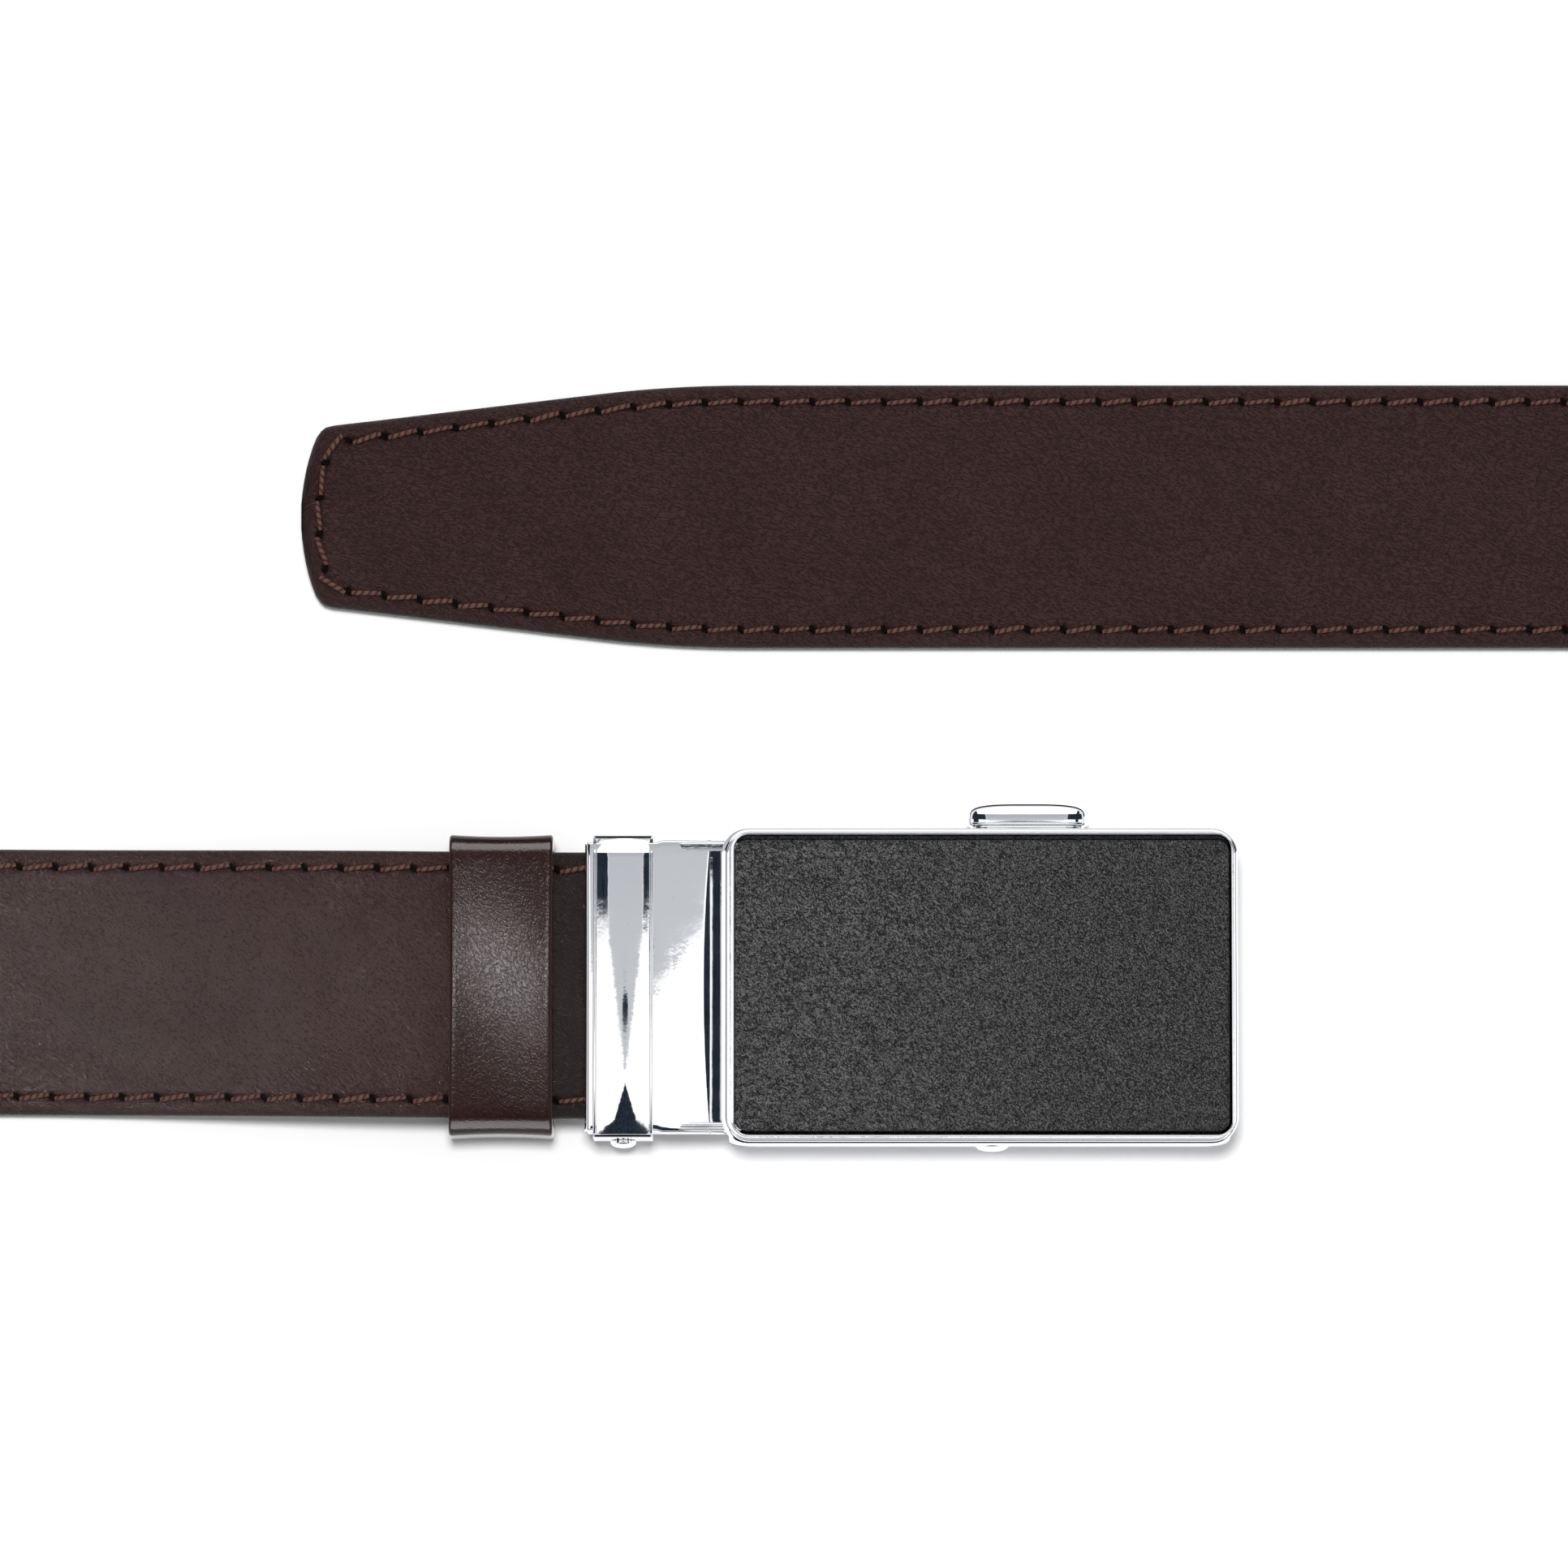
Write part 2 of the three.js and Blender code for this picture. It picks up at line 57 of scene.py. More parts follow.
# the buckle's middle, on the floor: every place below is told from it, in mm
faceLength = 68
home = Vector((bodyHigh.x - faceLength / 2 * mm, (bodyLow.y + bodyHigh.y) / 2, 0))


# buckle millimetres of a place in the frame
def local(point):
    return (Vector(point) - home) / mm


def newObject(name, data):
    obj = bpy.data.objects.new(name, data)
    bpy.context.collection.objects.link(obj)
    return obj


# camera, straight over the belt but for a small tilt
cameraSpec = {
    "aim": (-25.75, 27.27, 5),     # mm from the buckle's middle
    "tilt": 5.5,                   # degrees off straight down
    "distance": 1.3,
    "frameWidth": 207.7,           # mm of belt across the picture
    "sensor": 36,
}


def makeCamera(spec):
    aim = home + Vector(spec["aim"]) * mm
    tilt = math.radians(spec["tilt"])
    back = Vector((0, -math.sin(tilt), math.cos(tilt)))
    data = bpy.data.cameras.new("camera")
    data.sensor_width = spec["sensor"]
    data.lens = spec["sensor"] * spec["distance"] / (spec["frameWidth"] * mm)
    data.clip_start = 0.05
    data.clip_end = 20
    camera = newObject("camera", data)
    camera.location = aim + back * spec["distance"]
    camera.rotation_euler = (tilt, 0, 0)
    bpy.context.scene.camera = camera


makeCamera(cameraSpec)
print("camera set")


# mesh helpers
def place(points):
    return [home + Vector(p) * mm for p in points]


# turns a bmesh into a placed object, smooth but for edges sharper than the angle given
def finishMesh(bm, name, finish, sharp=50):
    bmesh.ops.recalc_face_normals(bm, faces=bm.faces)
    limit = math.radians(sharp)
    for face in bm.faces:
        face.smooth = True
    for edge in bm.edges:
        if len(edge.link_faces) == 2:
            edge.smooth = edge.calc_face_angle(0) < limit
    mesh = bpy.data.meshes.new(name)
    bm.to_mesh(mesh)
    bm.free()
    mesh.materials.append(finishes[finish])
    return newObject(name, mesh)


# skins closed loops of points that all have the same count
def addLoft(bm, loops, ring=False):
    rows = [[bm.verts.new(p) for p in place(loop)] for loop in loops]
    count = len(rows[0])
    pairs = list(zip(rows, rows[1:]))
    if ring:
        pairs.append((rows[-1], rows[0]))
    for low, high in pairs:
        for j in range(count):
            k = (j + 1) % count
            bm.faces.new((low[j], low[k], high[k], high[j]))
    if not ring:
        bm.faces.new(list(reversed(rows[0])))
        bm.faces.new(rows[-1])


# skins a slab between two grids of corners, one over the other
def addSlab(bm, upper, lower):
    lastI, lastJ = len(upper) - 1, len(upper[0]) - 1
    for grid in (upper, lower):
        for i in range(lastI):
            for j in range(lastJ):
                bm.faces.new((grid[i][j], grid[i + 1][j], grid[i + 1][j + 1], grid[i][j + 1]))
    for i in range(lastI):
        for j in (0, lastJ):
            bm.faces.new((upper[i][j], lower[i][j], lower[i + 1][j], upper[i + 1][j]))
    for j in range(lastJ):
        for i in (0, lastI):
            bm.faces.new((upper[i][j], upper[i][j + 1], lower[i][j + 1], lower[i][j]))


# points round a circle whose axis runs along Y
def circle(x, y, z, radius, count=32):
    turns = [2 * math.pi * i / count for i in range(count)]
    return [(x + radius * math.cos(a), y, z + radius * math.sin(a)) for a in turns]


# points round a rectangle with arcs at its corners
def roundedRect(x0, x1, y0, y1, radius, steps=8):
    radius = max(radius, 0.02)
    corners = ((x1 - radius, y1 - radius, 0), (x0 + radius, y1 - radius, 90),
               (x0 + radius, y0 + radius, 180), (x1 - radius, y0 + radius, 270))
    points = []
    for cx, cy, start in corners:
        for i in range(steps + 1):
            a = math.radians(start + 90 * i / steps)
            points.append((cx + radius * math.cos(a), cy + radius * math.sin(a)))
    return points


# a rounded rectangle whose straight sides are divided too
def denseRect(x0, x1, y0, y1, radius, steps, alongX, alongY):
    bare = roundedRect(x0, x1, y0, y1, radius, steps)
    points = []
    for i, point in enumerate(bare):
        points.append(point)
        if (i + 1) % (steps + 1) == 0:
            following = bare[(i + 1) % len(bare)]
            parts = alongX if abs(following[0] - point[0]) > abs(following[1] - point[1]) else alongY
            for j in range(1, parts):
                t = j / parts
                points.append((point[0] + (following[0] - point[0]) * t,
                               point[1] + (following[1] - point[1]) * t))
    return points


def smoothStep(x, low, high):
    t = np.clip((x - low) / (high - low), 0, 1)
    return t * t * (3 - 2 * t)


# shader helpers
def link(tree, a, b):
    tree.links.new(a, b)


def node(tree, kind, inputs=None, **settings):
    n = tree.nodes.new(kind)
    for key, value in settings.items():
        setattr(n, key, value)
    for key, value in (inputs or {}).items():
        if hasattr(value, "is_linked"):
            link(tree, value, n.inputs[key])
        else:
            n.inputs[key].default_value = value
    return n


def math1(tree, operation, a, b=0.0):
    return node(tree, "ShaderNodeMath", {0: a, 1: b}, operation=operation).outputs[0]


def add(tree, a, b):
    return math1(tree, "ADD", a, b)


def minus(tree, a, b):
    return math1(tree, "SUBTRACT", a, b)


def times(tree, a, b):
    return math1(tree, "MULTIPLY", a, b)


def noise(tree, where, scale, detail=2.0, roughness=0.5):
    return node(tree, "ShaderNodeTexNoise", {"Vector": where, "Scale": scale, "Detail": detail,
                                             "Roughness": roughness}).outputs[0]


def mapRange(tree, value, low, high, toLow=0.0, toHigh=1.0):
    n = node(tree, "ShaderNodeMapRange", {"Value": value, "From Min": low, "From Max": high,
                                          "To Min": toLow, "To Max": toHigh})
    n.interpolation_type = "SMOOTHSTEP"
    return n.outputs[0]


def mixColour(tree, amount, a, b):
    return node(tree, "ShaderNodeMix", {0: amount, 6: a, 7: b}, data_type="RGBA").outputs[2]


def newGroup(name, inputs, outputs):
    tree = bpy.data.node_groups.new(name, "ShaderNodeTree")
    for label, kind, value in inputs:
        socket = tree.interface.new_socket(label, in_out="INPUT", socket_type=kind)
        if value is not None:
            socket.default_value = value
    for label, kind in outputs:
        tree.interface.new_socket(label, in_out="OUTPUT", socket_type=kind)
    return tree, tree.nodes.new("NodeGroupInput"), tree.nodes.new("NodeGroupOutput")


def useGroup(tree, group, inputs):
    return node(tree, "ShaderNodeGroup", inputs, node_tree=group)


def newMaterial(name, **sockets):
    material = bpy.data.materials.new(name)
    material.use_nodes = True
    tree = material.node_tree
    shader = tree.nodes["Principled BSDF"]
    for key, value in sockets.items():
        shader.inputs[key.replace("_", " ")].default_value = value
    return material, tree, shader


def bump(tree, shader, height, distance):
    n = node(tree, "ShaderNodeBump", {"Height": height, "Distance": distance, "Strength": 1.0})
    link(tree, n.outputs[0], shader.inputs["Normal"])


floatIn, vectorIn = "NodeSocketFloat", "NodeSocketVector"


# wrinkled leather grain: creases between long slanted ridges; Vector is in mm
def makeGrainGroup():
    tree, inp, out = newGroup("leather grain", [
        ("Vector", vectorIn, None), ("Cell", floatIn, 0.45), ("Stretch", floatIn, 0.5),
        ("Slant", floatIn, -0.6), ("Warp", floatIn, 0.35)],
        [("Height", floatIn), ("Cloud", floatIn)])
    v = inp.outputs
    turned = node(tree, "ShaderNodeVectorRotate", {"Vector": v["Vector"], "Angle": v["Slant"]},
                  rotation_type="Z_AXIS").outputs[0]
    wobble = node(tree, "ShaderNodeTexNoise", {"Vector": turned, "Scale": 0.6, "Detail": 2.0}).outputs["Color"]
    shift = node(tree, "ShaderNodeVectorMath", {0: wobble, 1: (0.5, 0.5, 0.5)},
                 operation="SUBTRACT").outputs[0]
    shift = node(tree, "ShaderNodeVectorMath", {0: shift}, operation="SCALE")
    link(tree, v["Warp"], shift.inputs["Scale"])
    moved = node(tree, "ShaderNodeVectorMath", {0: turned, 1: shift.outputs[0]}, operation="ADD").outputs[0]
    parts = node(tree, "ShaderNodeSeparateXYZ", {0: moved}).outputs
    squeezed = node(tree, "ShaderNodeCombineXYZ", {
        0: times(tree, parts[0], v["Stretch"]), 1: parts[1], 2: parts[2]}).outputs[0]
    scale = math1(tree, "DIVIDE", 0.8, v["Cell"])
    folds = noise(tree, squeezed, scale)
    folds = mapRange(tree, math1(tree, "ABSOLUTE", minus(tree, folds, 0.5)), 0.0, 0.09)
    fine = noise(tree, squeezed, math1(tree, "DIVIDE", 2.1, v["Cell"]), 1.0)
    fine = mapRange(tree, fine, 0.33, 0.67)
    cloud = noise(tree, moved, 0.09, 3.0)
    grain = add(tree, times(tree, folds, 0.6), times(tree, fine, 0.4))
    link(tree, grain, out.inputs["Height"])
    link(tree, cloud, out.inputs["Cloud"])
    return tree


# dust and small marks; Vector is in mm
def makeSpeckGroup():
    tree, inp, out = newGroup("fine marks", [("Vector", vectorIn, None), ("Size", floatIn, 1.0)],
                              [("Mask", floatIn), ("Height", floatIn)])
    scale = math1(tree, "DIVIDE", 1.0, inp.outputs["Size"])
    slow = noise(tree, inp.outputs["Vector"], scale, 4.0)
    dots = node(tree, "ShaderNodeTexVoronoi", {"Vector": inp.outputs["Vector"],
                                               "Scale": times(tree, scale, 2.0)}).outputs["Distance"]
    link(tree, mapRange(tree, dots, 0.12, 0.04), out.inputs["Mask"])
    link(tree, slow, out.inputs["Height"])
    return tree


grainGroup = makeGrainGroup()
speckGroup = makeSpeckGroup()


def scaled(tree, where, by=(1 / mm, 1 / mm, 1 / mm)):
    return node(tree, "ShaderNodeVectorMath", {0: where, 1: by}, operation="MULTIPLY").outputs[0]


def objectMillimetres(tree):
    return scaled(tree, node(tree, "ShaderNodeTexCoord").outputs["Object"])


def uvMillimetres(tree):
    return scaled(tree, node(tree, "ShaderNodeUVMap", uv_map="UVMap").outputs[0])


def attribute(tree, name):
    return node(tree, "ShaderNodeAttribute", attribute_name=name).outputs["Fac"]


# leather finishes
def strapLeather():
    material, tree, shader = newMaterial("strap leather", Specular_IOR_Level=0.16)
    where = uvMillimetres(tree)
    along = node(tree, "ShaderNodeSeparateXYZ", {0: where}).outputs[0]
    slant = mapRange(tree, along, 300.0, 900.0, 0.72, 0.42)  # the creases lie flatter toward the tail
    grain = useGroup(tree, grainGroup, {"Vector": where, "Cell": 0.34, "Stretch": 0.36, "Slant": slant,
                                        "Warp": 0.6}).outputs
    cloud = mapRange(tree, grain["Cloud"], 0.25, 0.75)
    face = mixColour(tree, cloud, (0.034, 0.0152, 0.0152, 1), (0.040, 0.019, 0.0187, 1))
    folds = mapRange(tree, grain["Height"], 0.1, 0.65, 0.75, 0.0)
    face = mixColour(tree, folds, face, (0.008, 0.0035, 0.0035, 1))
    edge = attribute(tree, "edge")                           # mm in from the cut edge
    clampShade = mapRange(tree, along, 22.5, 19.5)              # painted shade where the strap lies in the gap between the clamp and the keeper
    face = mixColour(tree, clampShade, face, (0.015, 0.0105, 0.0098, 1))
    face = mixColour(tree, mapRange(tree, edge, 0.5, 0.2, 0.0, 0.8), face, (0.012, 0.011, 0.0095, 1))
    # creases that pull in to each stitch hole
    step = minus(tree, math1(tree, "FRACT", add(tree, attribute(tree, "run"), 0.5)), 0.5)
    step = times(tree, step, stitchSpec["pitch"])
    off = attribute(tree, "off")                             # mm in from the stitching
    away = math1(tree, "SQRT", add(tree, times(tree, step, step),
                                     times(tree, off, off)))
    rays = times(tree, math1(tree, "ARCTAN2", off, step), 6.0)
    rays = math1(tree, "SINE", add(tree, rays, times(tree, grain["Height"], 5.0)))
    near = mapRange(tree, away, 1.5, 0.5)
    # painted shade in the dip round each stitch hole, darkest at the hole
    face = mixColour(tree, mapRange(tree, away, 0.9, 0.2, 0.0, 0.7), face, (0.004, 0.0025, 0.0025, 1))
    groove = mapRange(tree, math1(tree, "ABSOLUTE", off), 0.55, 0.1, 0.0, 0.4)
    face = mixColour(tree, groove, face, (0.006, 0.003, 0.003, 1))
    link(tree, face, shader.inputs["Base Color"])
    link(tree, mapRange(tree, grain["Height"], 0.2, 0.9, 0.5, 0.36), shader.inputs["Roughness"])
    height = add(tree, grain["Height"], times(tree, times(tree, rays, near), 0.45))
    height = minus(tree, height, times(tree, mapRange(tree, away, 1.0, 0.0), 1.6))
    bump(tree, shader, height, 0.00011)
    return material


def strapEdge():
    material, tree, shader = newMaterial("strap edge", Roughness=0.7, Specular_IOR_Level=0.3)
    where = objectMillimetres(tree)
    fibres = noise(tree, where, 2.4, 6.0)
    side = attribute(tree, "depth")                          # 0 at the face, 1 at the back
    pale = mapRange(tree, side, 0.24, 0.42)
    colour = mixColour(tree, mapRange(tree, fibres, 0.35, 0.65), (0.085, 0.086, 0.075, 1), (0.2, 0.2, 0.18, 1))
    link(tree, mixColour(tree, pale, (0.02, 0.019, 0.017, 1), colour), shader.inputs["Base Color"])
    bump(tree, shader, fibres, 0.0003)
    return material


def strapBack():
    material, tree, shader = newMaterial("strap back", Roughness=0.85, Specular_IOR_Level=0.2)
    where = uvMillimetres(tree)
    nap = noise(tree, where, 1.8, 8.0, 0.7)
    link(tree, mixColour(tree, nap, (0.03, 0.019, 0.015, 1), (0.085, 0.055, 0.042, 1)),
         shader.inputs["Base Color"])
    bump(tree, shader, nap, 0.0004)
    return material


def keeperLeather():
    material, tree, shader = newMaterial("keeper leather", Specular_IOR_Level=0.12)
    where = uvMillimetres(tree)
    grain = useGroup(tree, grainGroup, {"Vector": where, "Cell": 0.42, "Stretch": 0.5, "Slant": -0.6,
                                        "Warp": 0.6}).outputs
    cloud = mapRange(tree, grain["Cloud"], 0.3, 0.7)
    face = mixColour(tree, cloud, (0.0165, 0.0052, 0.0048, 1), (0.0215, 0.0074, 0.0068, 1))
    face = mixColour(tree, mapRange(tree, attribute(tree, "cut"), 0.55, 0.95), face, (0.11, 0.08, 0.065, 1))
    link(tree, face, shader.inputs["Base Color"])
    link(tree, mapRange(tree, grain["Height"], 0.2, 0.9, 0.2, 0.15), shader.inputs["Roughness"])
    bump(tree, shader, grain["Height"], 0.00001)
    return material


def insertLeather():
    material, tree, shader = newMaterial("insert leather", Specular_IOR_Level=0.35)
    where = objectMillimetres(tree)
    grain = useGroup(tree, grainGroup, {"Vector": where, "Cell": 0.19, "Stretch": 0.5, "Slant": 0.8,
                                        "Warp": 0.5}).outputs
    folds = useGroup(tree, grainGroup, {"Vector": where, "Cell": 0.7, "Stretch": 0.45, "Slant": 0.2,
                                        "Warp": 1.8}).outputs
    parts = node(tree, "ShaderNodeSeparateXYZ", {0: where}).outputs
    worn = mapRange(tree, parts[0], insertHigh.x / mm - 10, insertLow.x / mm + 12, 0.05, 0.4)
    height = times(tree, minus(tree, folds["Height"], 0.5), worn)
    height = add(tree, grain["Height"], height)
    face = mixColour(tree, mapRange(tree, height, 0.46, 1.0), (0.001, 0.001, 0.001, 1),
                     (0.138, 0.138, 0.141, 1))
    shade = mapRange(tree, parts[0], insertLow.x / mm, insertHigh.x / mm, 0.0, 0.25)  # darker to the right
    face = mixColour(tree, shade, face, (0.0, 0.0, 0.0, 1))
    link(tree, face, shader.inputs["Base Color"])
    link(tree, mapRange(tree, grain["Height"], 0.2, 0.9, 0.5, 0.33), shader.inputs["Roughness"])
    bump(tree, shader, height, 0.0001)
    return material


def threadMaterial():
    material, tree, shader = newMaterial("waxed thread", Roughness=0.6, Specular_IOR_Level=0.4)
    parts = node(tree, "ShaderNodeSeparateXYZ", {0: uvMillimetres(tree)}).outputs
    lay = add(tree, math1(tree, "DIVIDE", parts[0], 0.95), parts[1])
    wave = math1(tree, "SINE", times(tree, lay, 2 * math.pi))
    ply = mapRange(tree, wave, -1.0, -0.1)
    fuzz = noise(tree, objectMillimetres(tree), 3.0, 4.0)
    # painted shade: the thread is darker in the twist between its plies, and lit is the colour on the plies
    lit = mixColour(tree, fuzz, (0.075, 0.03, 0.021, 1), (0.15, 0.066, 0.046, 1))
    link(tree, mixColour(tree, ply, (0.026, 0.0095, 0.007, 1), lit), shader.inputs["Base Color"])
    bump(tree, shader, ply, 0.00012)
    return material


# painted shade: the near-black of the lens that stands in for each stitch hole
def holeMaterial():
    material, tree, shader = newMaterial("stitch hole", Roughness=0.9, Specular_IOR_Level=0.1)
    grey = noise(tree, objectMillimetres(tree), 4.0)
    link(tree, mixColour(tree, grey, (0.0012, 0.0009, 0.0007, 1), (0.005, 0.0035, 0.003, 1)),
         shader.inputs["Base Color"])
    return material


# metal and plastic finishes
def chrome():
    material, tree, shader = newMaterial("polished chrome", Metallic=1.0)
    where = objectMillimetres(tree)
    marks = useGroup(tree, speckGroup, {"Vector": where, "Size": 3.2}).outputs
    link(tree, mixColour(tree, marks["Mask"], (0.86, 0.87, 0.89, 1), (0.8, 0.81, 0.83, 1)),
         shader.inputs["Base Color"])
    link(tree, mapRange(tree, marks["Height"], 0.35, 0.7, 0.03, 0.07), shader.inputs["Roughness"])
    bump(tree, shader, marks["Height"], 0.000012)
    return material


def satinSteel():
    material, tree, shader = newMaterial("satin steel", Metallic=1.0)
    where = objectMillimetres(tree)
    stretched = scaled(tree, where, (1, 12, 12))
    lines = noise(tree, stretched, 1.2, 4.0)
    link(tree, mixColour(tree, lines, (0.38, 0.38, 0.39, 1), (0.56, 0.56, 0.57, 1)),
         shader.inputs["Base Color"])
    link(tree, mapRange(tree, lines, 0.3, 0.7, 0.28, 0.45), shader.inputs["Roughness"])
    bump(tree, shader, lines, 0.00002)
    return material


def blackNylon():
    material, tree, shader = newMaterial("black nylon", Specular_IOR_Level=0.45)
    fine = noise(tree, objectMillimetres(tree), 5.0, 5.0)
    link(tree, mixColour(tree, fine, (0.01, 0.01, 0.011, 1), (0.022, 0.022, 0.024, 1)),
         shader.inputs["Base Color"])
    link(tree, mapRange(tree, fine, 0.3, 0.7, 0.4, 0.55), shader.inputs["Roughness"])
    bump(tree, shader, fine, 0.00004)
    return material


# stitches: one line of them up one edge, round the tip and back down the other
stitchSpec = {"pitch": 4.76, "inset": 2.4, "radius": 0.33, "span": 4.25, "rise": 0.18, "bury": 0.45,
              "slant": 8.5, "slantSpread": 2.5, "sizeSpread": 0.1, "liftFace": 0.16, "liftBack": -0.1,
              "seed": 7, "endMargin": 1.2, "tipZone": 9, "tipReach": 30, "lineSteps": 4000}

finishes = {
    "strap": strapLeather(), "edge": strapEdge(), "back": strapBack(), "keeper": keeperLeather(),
    "insert": insertLeather(), "thread": threadMaterial(), "hole": holeMaterial(), "chrome": chrome(),
    "steel": satinSteel(), "nylon": blackNylon(),
}
print("finishes made")


# how the strap lies: the same route and sizes as the solid model, in mm
strapSpec = {
    "length": 1250, "width": 35.25, "thickness": 3.5, "shiftY": 0.26,
    "tipWidth": 23.4, "tipEndRadius": 30, "tipTaper": 49.4, "tipCornerBlend": 2.6, "tipShoulderBlend": 1.2,
    "endX": -35.5, "tailTipX": -90.0, "tailRowY": 63, "backRunY": 165, "flatLeftX": -134, "flatRightX": 83,
    "twistLength": 110, "drift": 0.9, "driftStart": 16.5, "lift": 5.9, "liftStart": 37.4, "liftRun": 52,
    "ringStep": 0.97, "edgeRadius": 0.75, "margin": 2.4, "marginDrop": 0.4, "groove": 0.13,
    "grooveWidth": 0.55, "crown": 0.12, "pucker": 0.12, "puckerRadius": 0.8, "pillow": 0.1,
    "trackStart": 90, "trackLength": 241.3, "trackHalf": 8.3, "trackDepth": 1.9,
}


# where the strap's middle runs, how it rolls, and its outline at the tip
class StrapRoute:
    def __init__(self, spec):
        self.spec = spec
        s = spec
        self.leftRadius = (s["backRunY"] - s["drift"]) / 2
        self.rightRadius = (s["backRunY"] - s["tailRowY"]) / 2
        turns = math.pi * (self.leftRadius + self.rightRadius)
        span = (s["length"] - turns - (s["endX"] - s["tailTipX"])) / 2
        reach = (span - (s["flatRightX"] - s["flatLeftX"])) / 2
        self.leftX = s["flatLeftX"] - reach
        self.rightX = s["flatRightX"] + reach
        self.leftTwist = s["endX"] - s["flatLeftX"]
        self.leftTurn = s["endX"] - self.leftX
        self.leftTurnEnd = self.leftTurn + math.pi * self.leftRadius
        self.rightTurn = self.leftTurnEnd + self.rightX - self.leftX
        self.rightTurnEnd = self.rightTurn + math.pi * self.rightRadius
        self.rightTwistEnd = self.rightTurnEnd + self.rightX - s["flatRightX"]

    def plan(self, s):
        spec = self.spec
        drift = spec["drift"] * (1 - smoothStep(s, spec["driftStart"], self.leftTwist))
        a = np.clip((s - self.leftTurn) / self.leftRadius, 0, math.pi)
        b = np.clip((s - self.rightTurn) / self.rightRadius, 0, math.pi)
        x = np.where(s < self.leftTurn, spec["endX"] - s, self.leftX - self.leftRadius * np.sin(a))
        y = spec["drift"] + self.leftRadius * (1 - np.cos(a))
        onTop = s > self.leftTurnEnd
        x = np.where(onTop, self.leftX + (s - self.leftTurnEnd), x)
        past = s > self.rightTurn
        x = np.where(past, self.rightX + self.rightRadius * np.sin(b), x)
        y = np.where(past, spec["tailRowY"] + self.rightRadius * (1 + np.cos(b)), y)
        x = np.where(s > self.rightTurnEnd, self.rightX - (s - self.rightTurnEnd), x)
        return x, y - drift + spec["shiftY"]

    def roll(self, s):
        up = smoothStep(s, self.leftTwist, self.leftTwist + self.spec["twistLength"])
        down = smoothStep(s, self.rightTwistEnd - self.spec["twistLength"], self.rightTwistEnd)
        return math.pi / 2 * (up - down)

    def middle(self, s):
        spec = self.spec
        x, y = self.plan(s)
        lift = spec["lift"] * (1 - smoothStep(s, spec["liftStart"], spec["liftStart"] + spec["liftRun"]))
        roll = self.roll(s)
        z = lift + spec["width"] / 2 * np.sin(roll) + spec["thickness"] / 2 * np.cos(roll)
        return np.stack([x, y, z], axis=-1)

    # middle, direction across and face normal at each distance from the clamped end
    def frames(self, s):
        s = np.asarray(s, dtype=float)
        ahead = self.middle(np.minimum(s + 0.5, self.spec["length"]))
        along = ahead - self.middle(np.maximum(s - 0.5, 0))
        along /= np.linalg.norm(along, axis=-1, keepdims=True)
        left = np.cross(np.array([0.0, 0, 1]), along)
        left /= np.linalg.norm(left, axis=-1, keepdims=True)
        up = np.cross(along, left)
        roll = self.roll(s)[..., None]
        normal = up * np.cos(roll) + left * np.sin(roll)
        across = left * np.cos(roll) - up * np.sin(roll)
        return self.middle(s), across, normal

    # half the width at a distance from the tip, of the outline or of one set in from it
    def halfWidth(self, fromTip, inset=0.0):
        spec = self.spec
        radius = spec["tipEndRadius"] - inset
        inArc = np.clip(fromTip - inset, 0, radius)
        end = np.sqrt(radius ** 2 - (radius - inArc) ** 2)
        taper = spec["tipWidth"] / 2 + (spec["width"] - spec["tipWidth"]) / 2 * fromTip / spec["tipTaper"]
        side = self.blend(taper, spec["width"] / 2, spec["tipShoulderBlend"]) - inset
        return self.blend(end, side, spec["tipCornerBlend"])

    @staticmethod
    def blend(a, b, k):
        mix = np.clip(0.5 + (b - a) / (2 * k), 0, 1)
        return b + (a - b) * mix - k * mix * (1 - mix)


strapRoute = StrapRoute(strapSpec)


# a line set in from the strap's outline, up one side, round the tip and back: points and travel
def edgeLine(route, inset, endMargin=0.0):
    length = route.spec["length"]
    fromTip = inset + (np.linspace(0, 1, stitchSpec["lineSteps"]) ** 2) * (length - inset - endMargin)
    half = route.halfWidth(fromTip, inset)
    s = length - fromTip
    path = np.concatenate([np.stack([s[::-1], half[::-1]], axis=-1), np.stack([s, -half], axis=-1)])
    steps = np.linalg.norm(np.diff(path, axis=0), axis=-1)
    return path, np.concatenate([[0], np.cumsum(steps)])


# distance to, and number of, the closest point of a line
def nearest(points, path):
    gaps = np.linalg.norm(points[:, None] - path[None], axis=-1)
    best = gaps.argmin(axis=1)
    return gaps[np.arange(len(points)), best], best


